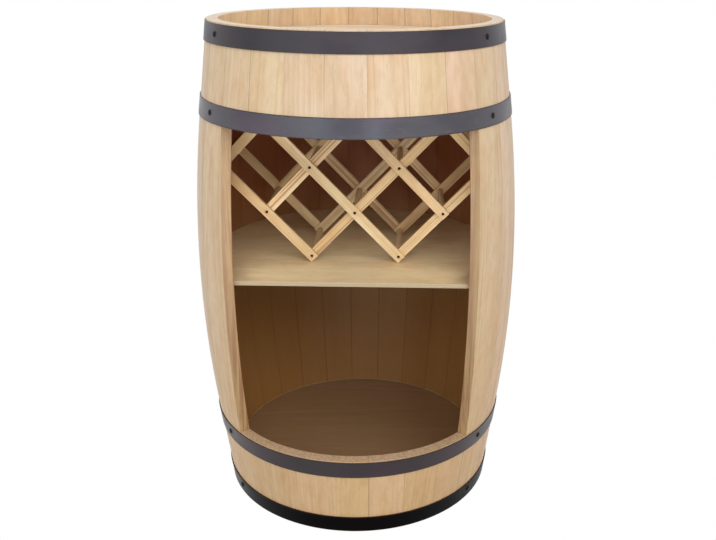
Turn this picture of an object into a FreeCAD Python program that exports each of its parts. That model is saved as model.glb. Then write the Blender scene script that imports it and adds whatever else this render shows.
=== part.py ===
import FreeCAD, Part
import math
import os
import Sketcher

# Barrel bar cabinet: a stave barrel with a doorway cut in its front. Behind the doorway are a
# shelf, an accordion wine rack and a strip of lights with its battery box.
# All lengths are in millimetres. The origin is the foot of the barrel's axis, +Z is up and the
# doorway faces -Y. Places round the barrel go by a front angle in degrees: 0 in the middle of the
# doorway, growing towards +X.

SIZES = (
    ("barrel_height", 800, "height over the stave ends"),
    ("end_radius", 231.8, "outside radius of the staves at both ends"),
    ("cone_angle", 7.5, "slope of the straight stretch at each end, in degrees"),
    ("cone_height", 150, "height of that straight stretch"),
    ("stave_thickness", 18, "staves"),
    ("stave_count", 26, "staves round the barrel"),
    ("short_stave_count", 7, "staves that the doorway cuts"),
    ("sill_height", 145, "height of the doorway's sill"),
    ("lintel_height", 657.5, "height of the doorway's upper edge"),
    ("jamb_swell", 7.3, "how far a jamb stands into the doorway at mid-height"),
    ("head_recess", 30, "depth of each head below the stave ends"),
    ("head_thickness", 16, "head boards"),
    ("head_board_count", 5, "boards in one head"),
    ("head_gap", 0.4, "between a head's rim and the staves"),
    ("croze_depth", 5, "groove that holds a head"),
    ("croze_width", 8, "groove that holds a head"),
    ("hoop_width", 29, "hoop band"),
    ("hoop_thickness", 1.8, "hoop band"),
    ("end_hoop_setback", 2, "from a stave end to the end hoop"),
    ("inner_hoop_setback", 114.3, "from a stave end to the second hoop"),
    ("lap_front_angle", 194, "where the hoops' ends overlap, in degrees"),
    ("lap_angle", 10, "span of that overlap, in degrees"),
    ("nail_front_angle", 57, "front angle of the two front nails, in degrees"),
    ("nail_head_radius", 4.5, "hoop nail"),
    ("nail_head_height", 2.2, "hoop nail"),
    ("nail_radius", 1.1, "hoop nail"),
    ("nail_length", 14, "hoop nail below its head"),
    ("head_rim_share", 0.4, "upright rim of any fastener's head, as a share of its height"),
    ("head_crown_share", 0.6, "flat top of any fastener's head, as a share of its radius"),
    ("rivet_radius", 2, "hoop rivet"),
    ("rivet_head_radius", 4, "hoop rivet"),
    ("rivet_head_height", 1.2, "hoop rivet"),
    ("rivet_spread", 2.4, "from the middle of the overlap to each rivet, in degrees"),
    ("shelf_top", 413, "height of the shelf's upper face"),
    ("shelf_thickness", 7, "shelf plywood"),
    ("shelf_front", 163, "from the axis to the shelf's straight front edge"),
    ("shelf_gap", 0.6, "between the shelf's edge and the staves"),
    ("notch_width", 13, "shelf notch that lets the light strip pass"),
    ("notch_depth", 4, "the same notch, in from the staves"),
    ("cleat_size", 18, "section of a shelf cleat"),
    ("cleat_length", 46, "shelf cleat"),
    ("cleat_gap", 0.1, "between a cleat's corners and the staves"),
    ("cleat_screw_radius", 1.75, "cleat screw"),
    ("cleat_screw_head_radius", 3.5, "cleat screw"),
    ("cleat_screw_head_height", 2.2, "cleat screw"),
    ("cleat_screw_length", 30, "cleat screw below its head"),
    ("cleat_screw_offset", 13, "from the middle of a cleat to each screw"),
    ("slat_width", 15.5, "wine rack slat"),
    ("slat_thickness", 6, "wine rack slat"),
    ("slat_overhang", 7, "slat beyond its last pivot"),
    ("slat_angle", 46.2, "lean of the slats from level, in degrees"),
    ("slat_play", 0.3, "gap between crossing slats and below the rack"),
    ("slats_each_way", 4, "falling slats in one lattice, and as many rising ones"),
    ("pivot_pitch", 103.3, "between neighbouring pivots along a slat"),
    ("rack_front", 71, "from the axis to the rack's front face"),
    ("rack_back", 83, "from the axis to the rack's back face"),
    ("dowel_radius", 5, "spacer dowel between the two lattices"),
    ("rack_screw_radius", 1.3, "rack screw"),
    ("rack_screw_bite", 15, "rack screw inside the dowel"),
    ("rack_screw_head_radius", 2.3, "rack screw"),
    ("rack_screw_head_height", 1.2, "rack screw"),
    ("counterbore_radius", 2.6, "recess for a rack screw's head"),
    ("counterbore_depth", 1.6, "recess for a rack screw's head"),
    ("head_float", 0.1, "between that recess's floor and the screw's head"),
    ("running_clearance", 0.05, "between a pivot screw and its holes"),
    ("strip_width", 8, "light strip"),
    ("strip_thickness", 1, "light strip"),
    ("strip_bottom", 147, "lower end of the upright runs"),
    ("strip_top", 668, "upper edge of the level run"),
    ("strip_tail_top", 700, "end of the tail behind the battery box"),
    ("strip_front_angle", 50.5, "front angle of the upright runs, in degrees"),
    ("light_size", 5, "edge of one light"),
    ("light_height", 1.2, "thickness of one light"),
    ("light_pitch", 33.3, "between neighbouring lights"),
    ("glue_line", 0.05, "between a light and its strip"),
    ("box_width", 68, "battery box"),
    ("box_height", 50, "battery box"),
    ("box_depth", 18, "battery box"),
    ("box_wall", 1.6, "battery box"),
    ("box_bottom", 674, "height of the battery box's lower edge"),
    ("box_gap", 0.2, "between the battery box and the staves"),
    ("switch_width", 4, "slide switch knob"),
    ("switch_depth", 3, "slide switch knob"),
    ("switch_reach", 2.5, "slide switch knob outside the box"),
    ("switch_travel", 4, "slide switch"),
    ("switch_clearance", 0.3, "round the knob and its plate"),
    ("switch_plate", 1.5, "thickness of the plate that keeps the knob in"),
)

doc = FreeCAD.newDocument("barrel_bar_cabinet")
sheet = doc.addObject("Spreadsheet::Sheet", "Sizes")
for row, (alias, number, meaning) in enumerate(SIZES, start=1):
    sheet.set(f"A{row}", meaning)
    sheet.set(f"B{row}", str(number))
    sheet.setAlias(f"B{row}", alias)
doc.recompute()


class Size:
    """A size that knows both its number and the sheet expression that gives it."""

    def __init__(self, number, text):
        self.number = number
        self.text = text

    def __add__(self, other):
        other = as_size(other)
        return Size(self.number + other.number, f"({self.text} + {other.text})")

    def __sub__(self, other):
        other = as_size(other)
        return Size(self.number - other.number, f"({self.text} - {other.text})")

    def __mul__(self, other):
        other = as_size(other)
        return Size(self.number * other.number, f"({self.text} * {other.text})")

    def __truediv__(self, other):
        other = as_size(other)
        return Size(self.number / other.number, f"({self.text} / {other.text})")

    def __neg__(self):
        return Size(-self.number, f"(0 - {self.text})")


def as_size(value):
    return value if isinstance(value, Size) else Size(value, str(value))


def size(alias):
    return Size(float(sheet.get(alias)), f"Sizes.{alias}")


def sine(angle):
    return Size(math.sin(math.radians(angle.number)), f"sin({angle.text})")


def cosine(angle):
    return Size(math.cos(math.radians(angle.number)), f"cos({angle.text})")


def tangent(angle):
    return Size(math.tan(math.radians(angle.number)), f"tan({angle.text})")


ZERO = as_size(0)
FULL_TURN = as_size(360)


# ---- Document helpers ----

def bind(thing, path, value):
    thing.setExpression(path, as_size(value).text)


def new_body(label):
    body = doc.addObject("PartDesign::Body", label)
    body.Label = label
    return body


def new_sketch(body, plane_role, name):
    sketch = body.newObject("Sketcher::SketchObject", f"{body.Name}_{name}")
    plane = [feature for feature in body.Origin.OriginFeatures if feature.Role == plane_role][0]
    sketch.AttachmentSupport = (plane, [""])
    sketch.MapMode = "FlatFace"
    return sketch


def pin_point(sketch, edge, end, x, y):
    """Fixes one end of a sketch edge at (x, y)."""
    for axis, coordinate, zero_line in (("DistanceX", x, -2), ("DistanceY", y, -1)):
        if coordinate.number == 0:
            sketch.addConstraint(Sketcher.Constraint("PointOnObject", edge, end, zero_line))
        else:
            index = sketch.addConstraint(
                Sketcher.Constraint(axis, -1, 1, edge, end, coordinate.number))
            bind(sketch, f"Constraints[{index}]", coordinate)


def arc_side(start, end, radius, centre_side):
    """The arc from start to end; centre_side is 1 for a centre left of the chord, else -1."""
    chord = end - start
    left = FreeCAD.Vector(-chord.y, chord.x, 0) / chord.Length
    rise = math.sqrt(radius ** 2 - chord.Length ** 2 / 4)
    centre = (start + end) / 2 + left * rise * centre_side
    first, last = (start, end) if centre_side > 0 else (end, start)
    first_angle = math.atan2(first.y - centre.y, first.x - centre.x)
    last_angle = math.atan2(last.y - centre.y, last.x - centre.x)
    if last_angle < first_angle:
        last_angle += 2 * math.pi
    circle = Part.Circle(centre, FreeCAD.Vector(0, 0, 1), radius)
    return Part.ArcOfCircle(circle, first_angle, last_angle)


def outline(sketch, corners, arcs=None):
    """Adds a closed loop through the corners. arcs maps a side to (radius, centre_side)."""
    arcs = arcs or {}
    first = len(sketch.Geometry)
    count = len(corners)
    points = [FreeCAD.Vector(x.number, y.number, 0) for x, y in corners]
    ends = []
    for side in range(count):
        start, end = points[side], points[(side + 1) % count]
        if side in arcs:
            radius, centre_side = arcs[side]
            sketch.addGeometry(arc_side(start, end, radius.number, centre_side))
            ends.append((1, 2) if centre_side > 0 else (2, 1))
        else:
            sketch.addGeometry(Part.LineSegment(start, end))
            ends.append((1, 2))
    for side, (x, y) in enumerate(corners):
        after = (side + 1) % count
        sketch.addConstraint(Sketcher.Constraint(
            "Coincident", first + side, ends[side][1], first + after, ends[after][0]))
        pin_point(sketch, first + side, ends[side][0], x, y)
    for side, (radius, centre_side) in arcs.items():
        index = sketch.addConstraint(
            Sketcher.Constraint("Radius", first + side, radius.number))
        bind(sketch, f"Constraints[{index}]", radius)


def rectangle(sketch, low_x, low_y, high_x, high_y):
    outline(sketch, ((low_x, low_y), (high_x, low_y), (high_x, high_y), (low_x, high_y)))


def round_hole(sketch, x, y, radius):
    centre = FreeCAD.Vector(x.number, y.number, 0)
    edge = sketch.addGeometry(Part.Circle(centre, FreeCAD.Vector(0, 0, 1), radius.number))
    pin_point(sketch, edge, 3, x, y)
    index = sketch.addConstraint(Sketcher.Constraint("Radius", edge, radius.number))
    bind(sketch, f"Constraints[{index}]", radius)


def sweep_round(body, sketch, kind, name, angle):
    """A Revolution or Groove about the sketch's upright axis, half the angle to each side."""
    feature = body.newObject(f"PartDesign::{kind}", f"{body.Name}_{name}")
    feature.Profile = sketch
    feature.ReferenceAxis = (sketch, ["V_Axis"])
    feature.Midplane = True
    bind(feature, "Angle", angle)


def extrude(body, sketch, kind, name, length, backwards=False):
    """A Pad or Pocket of the sketch."""
    feature = body.newObject(f"PartDesign::{kind}", f"{body.Name}_{name}")
    feature.Profile = sketch
    feature.Reversed = backwards
    bind(feature, "Length", length)


def ring_piece(label, corners, angle, arcs=None):
    """A body swept about its Z axis from a section drawn as (radius, height)."""
    body = new_body(label)
    section = new_sketch(body, "XZ_Plane", "section")
    outline(section, corners, arcs)
    sweep_round(body, section, "Revolution", "sweep", angle)
    return body


def group(label, pieces):
    """Several separate solids that share one node."""
    compound = doc.addObject("Part::Compound", label)
    compound.Label = label
    compound.Links = pieces
    return compound


def block(label, length, width, height, placement):
    box = doc.addObject("Part::Box", label)
    for name, value in (("Length", length), ("Width", width), ("Height", height)):
        bind(box, name, value)
    box.Placement = placement
    return box


def drill(label, radius, length, placement):
    """A cylinder that starts at the placement and runs along its +Z."""
    cylinder = doc.addObject("Part::Cylinder", label)
    bind(cylinder, "Radius", radius)
    bind(cylinder, "Height", length)
    cylinder.Placement = placement
    return cylinder


def cut_away(label, blank, tools):
    """The blank less every tool, or the blank itself under this label if there is no tool."""
    if not tools:
        blank.Label = label
        return blank
    cut = doc.addObject("Part::Cut", f"{label}_cut")
    cut.Label = label
    cut.Base = blank
    cut.Tool = tools[0] if len(tools) == 1 else group(f"{label}_tools", tools)
    return cut


def common(label, first, second):
    overlap = doc.addObject("Part::Common", label)
    overlap.Label = label
    overlap.Base = first
    overlap.Tool = second
    return overlap


# ---- Places round the barrel ----

HEIGHT = size("barrel_height")
SLOPE = size("cone_angle")
STAVES = int(size("stave_count").number)
SHORT_STAVES = int(size("short_stave_count").number)
STAVE_ANGLE = FULL_TURN / size("stave_count")
UP = FreeCAD.Vector(0, 0, 1)


def move(x, y, z):
    return FreeCAD.Placement(FreeCAD.Vector(x, y, z), FreeCAD.Rotation())


def facing(front_angle):
    """Carries a body's +X to a front angle."""
    return FreeCAD.Placement(FreeCAD.Vector(), FreeCAD.Rotation(UP, front_angle - 90))


def radial(front_angle, radius, height, lean=0.0):
    """+Z points out of the barrel and leans up by lean degrees; +X points down, +Y round it."""
    tip = FreeCAD.Rotation(FreeCAD.Vector(0, 1, 0), 90 - lean)
    return facing(front_angle).multiply(
        FreeCAD.Placement(FreeCAD.Vector(radius, 0, height), tip))


def cone_radius(from_end, depth=ZERO):
    """Radius in the straight stretches, at a distance from the barrel's end and below the skin."""
    return size("end_radius") + from_end * tangent(SLOPE) - depth / cosine(SLOPE)


def bilge_radius():
    """Radius of the bend between the two straight stretches."""
    return (HEIGHT / 2 - size("cone_height")) / sine(SLOPE)


def wall_at(height, depth):
    """Radius and lean of the wall at a height, at a depth below the staves' outside."""
    bend = bilge_radius().number - depth
    rise = height - HEIGHT.number / 2
    lean = math.degrees(math.asin(max(-1.0, min(1.0, rise / bend))))
    if abs(lean) < SLOPE.number:
        centre = cone_radius(size("cone_height")).number
        centre -= bilge_radius().number * cosine(SLOPE).number
        return centre + math.sqrt(bend ** 2 - rise ** 2), lean
    from_end = as_size(min(height, HEIGHT.number - height))
    return cone_radius(from_end, as_size(depth)).number, math.copysign(SLOPE.number, rise)


def wall_section(outer_depth, inner_depth, bottom, top):
    """Corners and arcs of a strip of the wall; both ends lie in the straight stretches."""
    cone_height = size("cone_height")
    low_out, low_in = (cone_height + depth * sine(SLOPE) for depth in (outer_depth, inner_depth))
    bend_out, bend_in = (cone_radius(cone_height) - depth * cosine(SLOPE)
                         for depth in (outer_depth, inner_depth))
    from_top = HEIGHT - top
    corners = ((cone_radius(bottom, outer_depth), bottom),
               (bend_out, low_out),
               (bend_out, HEIGHT - low_out),
               (cone_radius(from_top, outer_depth), top),
               (cone_radius(from_top, inner_depth), top),
               (bend_in, HEIGHT - low_in),
               (bend_in, low_in),
               (cone_radius(bottom, inner_depth), bottom))
    arcs = {1: (bilge_radius() - outer_depth, 1), 5: (bilge_radius() - inner_depth, -1)}
    return corners, arcs


# ---- Hoops: flat bands on the straight stretches, lapped and riveted at the back ----

HOOPS = {
    "bottom_hoop": ("end_hoop_setback", False),
    "lower_hoop": ("inner_hoop_setback", False),
    "upper_hoop": ("inner_hoop_setback", True),
    "top_hoop": ("end_hoop_setback", True),
}
BACK = 180.0
NAIL_ANGLES = (size("nail_front_angle").number, -size("nail_front_angle").number, BACK)


def hoop_point(setback, upper, share_of_width, depth):
    """Radius and height on a hoop, across its width and out from the wood."""
    from_end = size(setback) + size("hoop_width") * share_of_width
    height = HEIGHT - from_end if upper else from_end
    return cone_radius(from_end, -depth), height


def band_section(setback, upper, inner, outer):
    return [hoop_point(setback, upper, share, depth)
            for share, depth in ((0, inner), (0, outer), (1, outer), (1, inner))]


def on_hoop(setback, upper, front_angle, depth, start):
    """A placement on a hoop's middle line, its +Z straight out, moved along it by start."""
    radius, height = hoop_point(setback, upper, 0.5, depth)
    lean = SLOPE.number if upper else -SLOPE.number
    return radial(front_angle, radius.number, height.number, lean).multiply(move(0, 0, start))


def fastener(label, radius, length, head_radius, head_height, placement):
    """A shank that ends at the placement, and a head with a bevelled rim beyond it."""
    rim = head_height * size("head_rim_share")
    crown = head_radius * size("head_crown_share")
    corners = ((ZERO, -length), (radius, -length), (radius, ZERO), (head_radius, ZERO),
               (head_radius, rim), (crown, head_height), (ZERO, head_height))
    piece = ring_piece(label, corners, FULL_TURN)
    piece.Placement = placement
    return piece


thickness = size("hoop_thickness")
nails = []
rivets = []
nail_holes = {}
hoops = []
lap_middle = size("lap_front_angle").number
rivet_spread = size("rivet_spread").number
for hoop_name, (setback, upper) in HOOPS.items():
    blank = ring_piece(f"{hoop_name}_band", band_section(setback, upper, ZERO, thickness),
                       FULL_TURN)
    lap = new_sketch(blank, "XZ_Plane", "lap")
    outline(lap, band_section(setback, upper, thickness, thickness * 2))
    sweep_round(blank, lap, "Revolution", "lap_sweep", size("lap_angle"))
    blank.Placement = facing(lap_middle)
    holes = []
    for number, angle in enumerate(NAIL_ANGLES, start=1):
        on_band = on_hoop(setback, upper, angle, thickness, 0)
        nails.append(fastener(f"{hoop_name}_nail_{number}", size("nail_radius"),
                              size("nail_length"), size("nail_head_radius"),
                              size("nail_head_height"), on_band))
        hole = drill(f"{hoop_name}_nail_hole_{number}", size("nail_radius"),
                     size("nail_length") * 2,
                     on_hoop(setback, upper, angle, thickness, -size("nail_length").number))
        holes.append(hole)
        stave_number = round(angle / STAVE_ANGLE.number) % STAVES
        nail_holes.setdefault(stave_number, []).append(hole)
    for number, angle in enumerate((lap_middle - rivet_spread, lap_middle + rivet_spread), start=1):
        on_lap = on_hoop(setback, upper, angle, thickness * 2, 0)
        rivets.append(fastener(f"{hoop_name}_rivet_{number}", size("rivet_radius"), thickness * 2,
                               size("rivet_head_radius"), size("rivet_head_height"), on_lap))
        holes.append(drill(f"{hoop_name}_rivet_hole_{number}", size("rivet_radius"),
                           thickness * 4,
                           on_hoop(setback, upper, angle, thickness * 2,
                                   -thickness.number * 2)))
    hoops.append(cut_away(hoop_name, blank, holes))
hoop_nails = group("hoop_nails", nails)
hoop_rivets = group("hoop_rivets", rivets)


# ---- Shelf: a plywood disc with a straight front, on four cleats screwed to the staves ----

inner_belly = wall_at(HEIGHT.number / 2, size("stave_thickness").number)[0]
bend_to_belly = bilge_radius() * (as_size(1) - cosine(SLOPE))
shelf_radius = (cone_radius(size("cone_height")) + bend_to_belly - size("stave_thickness")
                - size("shelf_gap"))
shelf_under = size("shelf_top") - size("shelf_thickness")

shelf_board = new_body("shelf_board")
disc = new_sketch(shelf_board, "XY_Plane", "disc")
round_hole(disc, ZERO, ZERO, shelf_radius)
extrude(shelf_board, disc, "Pad", "board", size("shelf_thickness"))
front_cut = new_sketch(shelf_board, "XY_Plane", "front_cut")
past_disc = shelf_radius + 10
rectangle(front_cut, -past_disc, -past_disc, past_disc, -size("shelf_front"))
extrude(shelf_board, front_cut, "Pocket", "straight_front", size("shelf_thickness"), True)
shelf_board.Placement = move(0, 0, shelf_under.number)

# The light strip passes the shelf's front corners through two notches.
notch_width, notch_depth = size("notch_width"), size("notch_depth")
notches = []
for side in (-1, 1):
    corner = facing(side * size("strip_front_angle").number).multiply(
        move(inner_belly - notch_depth.number, -notch_width.number / 2, shelf_under.number - 1))
    notches.append(block(f"shelf_notch_{len(notches) + 1}", notch_depth * 2, notch_width,
                         size("shelf_thickness") + 2, corner))
shelf = cut_away("shelf", shelf_board, notches)

CLEAT_STAVES = (6, 11, 15, 20)
half_cleat = size("cleat_length").number / 2
cleat_back = math.sqrt((inner_belly - size("cleat_gap").number) ** 2 - half_cleat ** 2)
cleat_face = cleat_back - size("cleat_size").number
cleat_low = shelf_under.number - size("cleat_size").number
cleats = []
cleat_screws = []
screw_holes = {}
for number, stave_number in enumerate(CLEAT_STAVES, start=1):
    angle = stave_number * STAVE_ANGLE.number
    blank = block(f"cleat_{number}_block", size("cleat_size"), size("cleat_length"),
                  size("cleat_size"), facing(angle).multiply(move(cleat_face, -half_cleat,
                                                                  cleat_low)))
    holes = []
    for side in (-1, 1):
        sideways = side * size("cleat_screw_offset").number
        middle = cleat_low + size("cleat_size").number / 2
        # The head stands on the cleat's inner face, so this screw points outwards.
        inwards = radial(angle + BACK, -cleat_face, middle).multiply(move(0, sideways, 0))
        mark = f"{number}_{len(holes) + 1}"
        cleat_screws.append(fastener(
            f"cleat_screw_{mark}", size("cleat_screw_radius"), size("cleat_screw_length"),
            size("cleat_screw_head_radius"), size("cleat_screw_head_height"), inwards))
        bottom = inwards.multiply(move(0, 0, -size("cleat_screw_length").number))
        holes.append(drill(f"cleat_screw_hole_{mark}", size("cleat_screw_radius"),
                           size("cleat_screw_length") + 1, bottom))
    cleats.append(cut_away(f"cleat_{number}", blank, holes))
    screw_holes[stave_number] = holes
shelf_cleats = group("shelf_cleats", cleats)
cleat_screw_group = group("cleat_screws", cleat_screws)


# ---- Staves: bent boards with a croze near each end; the doorway cuts the front ones short ----

def stave_blank(label, stave_number, angle=STAVE_ANGLE):
    section, arcs = wall_section(ZERO, size("stave_thickness"), ZERO, HEIGHT)
    body = ring_piece(label, section, angle, arcs)
    crozes = new_sketch(body, "XZ_Plane", "crozes")
    near = size("head_recess") + (size("head_thickness") - size("croze_width")) / 2
    far = near + size("croze_width")
    floor = cone_radius(near, size("stave_thickness")) + size("croze_depth")
    mouth = cone_radius(ZERO, size("stave_thickness")) - size("croze_depth")
    rectangle(crozes, mouth, near, floor, far)
    rectangle(crozes, mouth, HEIGHT - far, floor, HEIGHT - near)
    sweep_round(body, crozes, "Groove", "croze_cut", angle + 1)
    body.Placement = facing(stave_number * STAVE_ANGLE.number)
    return body


half_side = HEIGHT / 2


def jamb_tools(label, stave_number, towards_doorway):
    """Cut a wide blank to a stave whose edge bows into the doorway between sill and lintel."""
    sill, lintel, swell = size("sill_height"), size("lintel_height"), size("jamb_swell")
    half_rise = (lintel - sill) / 2
    bow = (half_rise * half_rise + swell * swell) / (swell * 2)
    beyond = swell * 4 * towards_doorway
    offcut = new_body(f"{label}_offcut")
    offcut_face = new_sketch(offcut, "YZ_Plane", "face")
    outline(offcut_face, ((ZERO, -swell), (ZERO, sill), (ZERO, lintel), (ZERO, HEIGHT + swell),
                          (beyond, HEIGHT + swell), (beyond, -swell)),
            {1: (bow, towards_doorway)})
    extrude(offcut, offcut_face, "Pad", "depth", half_side)
    half_stave = STAVE_ANGLE.number / 2 * towards_doorway
    middle = stave_number * STAVE_ANGLE.number
    offcut.Placement = facing(middle + half_stave)
    low_y = -swell.number * 4 if towards_doorway > 0 else 0.0
    neighbour = block(f"{label}_neighbour", half_side, swell * 4, HEIGHT + 2,
                      facing(middle - half_stave).multiply(move(0, low_y, -1)))
    return [offcut, neighbour]


first_full = SHORT_STAVES // 2 + 1
last_full = STAVES - first_full
full_staves = []
for stave_number in range(first_full, last_full + 1):
    name = f"stave_{stave_number - first_full + 1:02d}"
    tools = nail_holes.get(stave_number, []) + screw_holes.get(stave_number, [])
    angle = STAVE_ANGLE
    if stave_number in (first_full, last_full):
        tools = tools + jamb_tools(name, stave_number, -1 if stave_number == first_full else 1)
        angle = STAVE_ANGLE * 1.5
    blank = stave_blank(f"{name}_blank" if tools else name, stave_number, angle)
    full_staves.append(cut_away(name, blank, tools))

above = block("above_lintel", half_side * 2, half_side * 2, HEIGHT - size("lintel_height") + 1,
              move(-half_side.number, -half_side.number, size("lintel_height").number))
below = block("below_sill", half_side * 2, half_side * 2, size("sill_height") + 1,
              move(-half_side.number, -half_side.number, -1))
upper_pieces = []
lower_pieces = []
for stave_number in range(1 - first_full, first_full):
    mark = stave_number + first_full
    blank = stave_blank(f"front_stave_{mark}", stave_number)
    upper_pieces.append(common(f"upper_piece_{mark}", blank, above))
    lower_pieces.append(common(f"lower_piece_{mark}", blank, below))
upper_short_staves = group("upper_short_staves", upper_pieces)
lower_short_staves = group("lower_short_staves", lower_pieces)


# ---- Heads: boards side by side, with a tongue all round that sits in the croze ----

def head(label, placement):
    """Local z = 0 is the outer face, and the boards lie side by side along Y."""
    recess = size("head_recess")
    board = size("head_thickness")
    lip = (board - size("croze_width")) / 2
    rim = cone_radius(recess, size("stave_thickness")) - size("head_gap")
    tongue = (cone_radius(recess + lip, size("stave_thickness")) + size("croze_depth")
              - size("head_gap"))
    corners = ((ZERO, ZERO), (rim, ZERO), (rim, lip), (tongue, lip), (tongue, board - lip),
               (rim, board - lip), (rim, board), (ZERO, board))
    disc = ring_piece(f"{label}_disc", corners, FULL_TURN)
    count = int(size("head_board_count").number)
    board_width = tongue * 2 / count
    pieces = []
    for number in range(count):
        low = -tongue.number + number * board_width.number
        strip = block(f"{label}_strip_{number + 1}", tongue * 2, board_width, board,
                      move(-tongue.number, low, 0))
        piece = common(f"{label}_board_{number + 1}", disc, strip)
        piece.Placement = placement
        pieces.append(piece)
    return group(label, pieces)


flip = FreeCAD.Rotation(FreeCAD.Vector(1, 0, 0), 180)
head_height = HEIGHT.number - size("head_recess").number
top_head = head("top_head", FreeCAD.Placement(FreeCAD.Vector(0, 0, head_height), flip))
bottom_head = head("bottom_head", move(0, 0, size("head_recess").number))


# ---- Wine rack: two lattices of crossing slats, pinned together through spacer dowels ----

PITCH = size("pivot_pitch")
LEAN = size("slat_angle")
SLATS = int(size("slats_each_way").number)
ROWS = 2 * SLATS - 3
column = PITCH * cosine(LEAN)
row_rise = PITCH * sine(LEAN)
corner_drop = size("slat_overhang") * sine(LEAN) + size("slat_width") / 2 * cosine(LEAN)
first_row = size("shelf_top") + size("slat_play") + corner_drop


def crossing(falling, rising):
    """Column and row of the pivot of two slats, or None where the lattice has none."""
    row = falling + rising - 1
    return (falling - rising, row) if 0 <= row < ROWS else None


def pivot(place, y):
    across, row = place
    return FreeCAD.Vector(across * column.number, y, first_row.number + row * row_rise.number)


def slat(label, pivots, y, rising, back, outermost):
    """A slat from its leftmost pivot on; local y = 0 is the face turned away from the dowels."""
    body = new_body(label)
    half = size("slat_width") / 2
    span = PITCH * (len(pivots) - 1)
    face = new_sketch(body, "XZ_Plane", "face")
    rectangle(face, -size("slat_overhang"), -half, span + size("slat_overhang"), half)
    extrude(body, face, "Pad", "board", size("slat_thickness"), True)
    holes = new_sketch(body, "XZ_Plane", "holes")
    for number in range(len(pivots)):
        round_hole(holes, PITCH * number, ZERO,
                   size("rack_screw_radius") + size("running_clearance"))
    extrude(body, holes, "Pocket", "pivot_holes", size("slat_thickness"), False)
    if outermost:
        recesses = new_sketch(body, "XZ_Plane", "recesses")
        for number in range(len(pivots)):
            round_hole(recesses, PITCH * number, ZERO, size("counterbore_radius"))
        extrude(body, recesses, "Pocket", "counterbores", size("counterbore_depth"), False)
    lean = -LEAN.number if rising else LEAN.number
    turn = FreeCAD.Rotation(FreeCAD.Vector(0, 1, 0), lean)
    if back:
        turn = turn.multiply(flip)
    body.Placement = FreeCAD.Placement(pivot(pivots[0], y), turn)
    return body


def along_y(place, y, towards_back):
    """A placement at a pivot with +Z towards the back of the rack, or towards its front."""
    tip = FreeCAD.Rotation(FreeCAD.Vector(1, 0, 0), -90 if towards_back else 90)
    return FreeCAD.Placement(pivot(place, y), tip)


layer = size("slat_thickness") + size("slat_play")
front_face = -size("rack_front").number
back_face = size("rack_back").number
dowel_length = size("rack_front") + size("rack_back") - (layer + size("slat_thickness")) * 2
dowel_start = front_face + layer.number + size("slat_thickness").number
head_floor = size("counterbore_depth") - size("head_float")
shank = layer + size("slat_thickness") - head_floor + size("rack_screw_bite")
rack_nodes = []
for number in range(SLATS):
    falling = [crossing(number, rising) for rising in reversed(range(SLATS))]
    falling = [place for place in falling if place]
    for name, y, back in (("front", front_face, False), ("back", back_face, True)):
        rack_nodes.append(
            slat(f"{name}_falling_slat_{number + 1}", falling, y, False, back, True))
for number in range(SLATS):
    rising = [crossing(falling, number) for falling in range(SLATS)]
    rising = [place for place in rising if place]
    inset = layer.number
    for name, y, back in (("front", front_face + inset, False), ("back", back_face - inset, True)):
        rack_nodes.append(
            slat(f"{name}_rising_slat_{number + 1}", rising, y, True, back, False))
    dowels = []
    screws = []
    bore = size("rack_screw_radius")
    for place in rising:
        mark = f"{number + 1}_{len(dowels) + 1}"
        deep = size("rack_screw_bite")
        corners = ((ZERO, deep), (bore, deep), (bore, ZERO), (size("dowel_radius"), ZERO),
                   (size("dowel_radius"), dowel_length), (bore, dowel_length),
                   (bore, dowel_length - deep), (ZERO, dowel_length - deep))
        dowel = ring_piece(f"dowel_{mark}", corners, FULL_TURN)
        dowel.Placement = along_y(place, dowel_start, True)
        dowels.append(dowel)
        for name, y, towards_back in (("front", front_face + head_floor.number, False),
                                      ("back", back_face - head_floor.number, True)):
            screws.append(fastener(
                f"{name}_screw_{mark}", size("rack_screw_radius"), shank,
                size("rack_screw_head_radius"), size("rack_screw_head_height"),
                along_y(place, y, towards_back)))
    rack_nodes.append(group(f"rack_dowels_{number + 1}", dowels))
    rack_nodes.append(group(f"rack_screws_{number + 1}", screws))


# ---- Light strip: up both sides of the doorway and over it, stuck to the staves ----

wood = size("stave_thickness")
strip_depth = wood + size("strip_thickness")
strip_span = size("strip_width") / as_size(inner_belly) * as_size(180 / math.pi)
strip_angle = size("strip_front_angle")
strip_pieces = []
for side in (-1, 1):
    section, arcs = wall_section(wood, strip_depth, size("strip_bottom"), size("strip_top"))
    run = ring_piece(f"upright_run_{len(strip_pieces) + 1}", section, strip_span, arcs)
    run.Placement = facing(side * strip_angle.number)
    strip_pieces.append(run)


def level_section(bottom, top):
    return [(cone_radius(HEIGHT - height, depth), height)
            for depth, height in ((strip_depth, bottom), (wood, bottom), (wood, top),
                                  (strip_depth, top))]


level_run = ring_piece(
    "level_run", level_section(size("strip_top") - size("strip_width"), size("strip_top")),
    strip_angle * 2 - strip_span)
tail_run = ring_piece(
    "tail_run", level_section(size("strip_top"), size("strip_tail_top")), strip_span)
for run in (level_run, tail_run):
    run.Placement = facing(0)
    strip_pieces.append(run)


def light(number, front_angle, height):
    depth = strip_depth.number + size("glue_line").number
    radius, lean = wall_at(height, depth)
    half = size("light_size").number / 2
    corner = radial(front_angle, radius, height, lean).multiply(
        move(-half, -half, -size("light_height").number))
    return block(f"light_{number}", size("light_size"), size("light_size"),
                 size("light_height"), corner)


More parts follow.
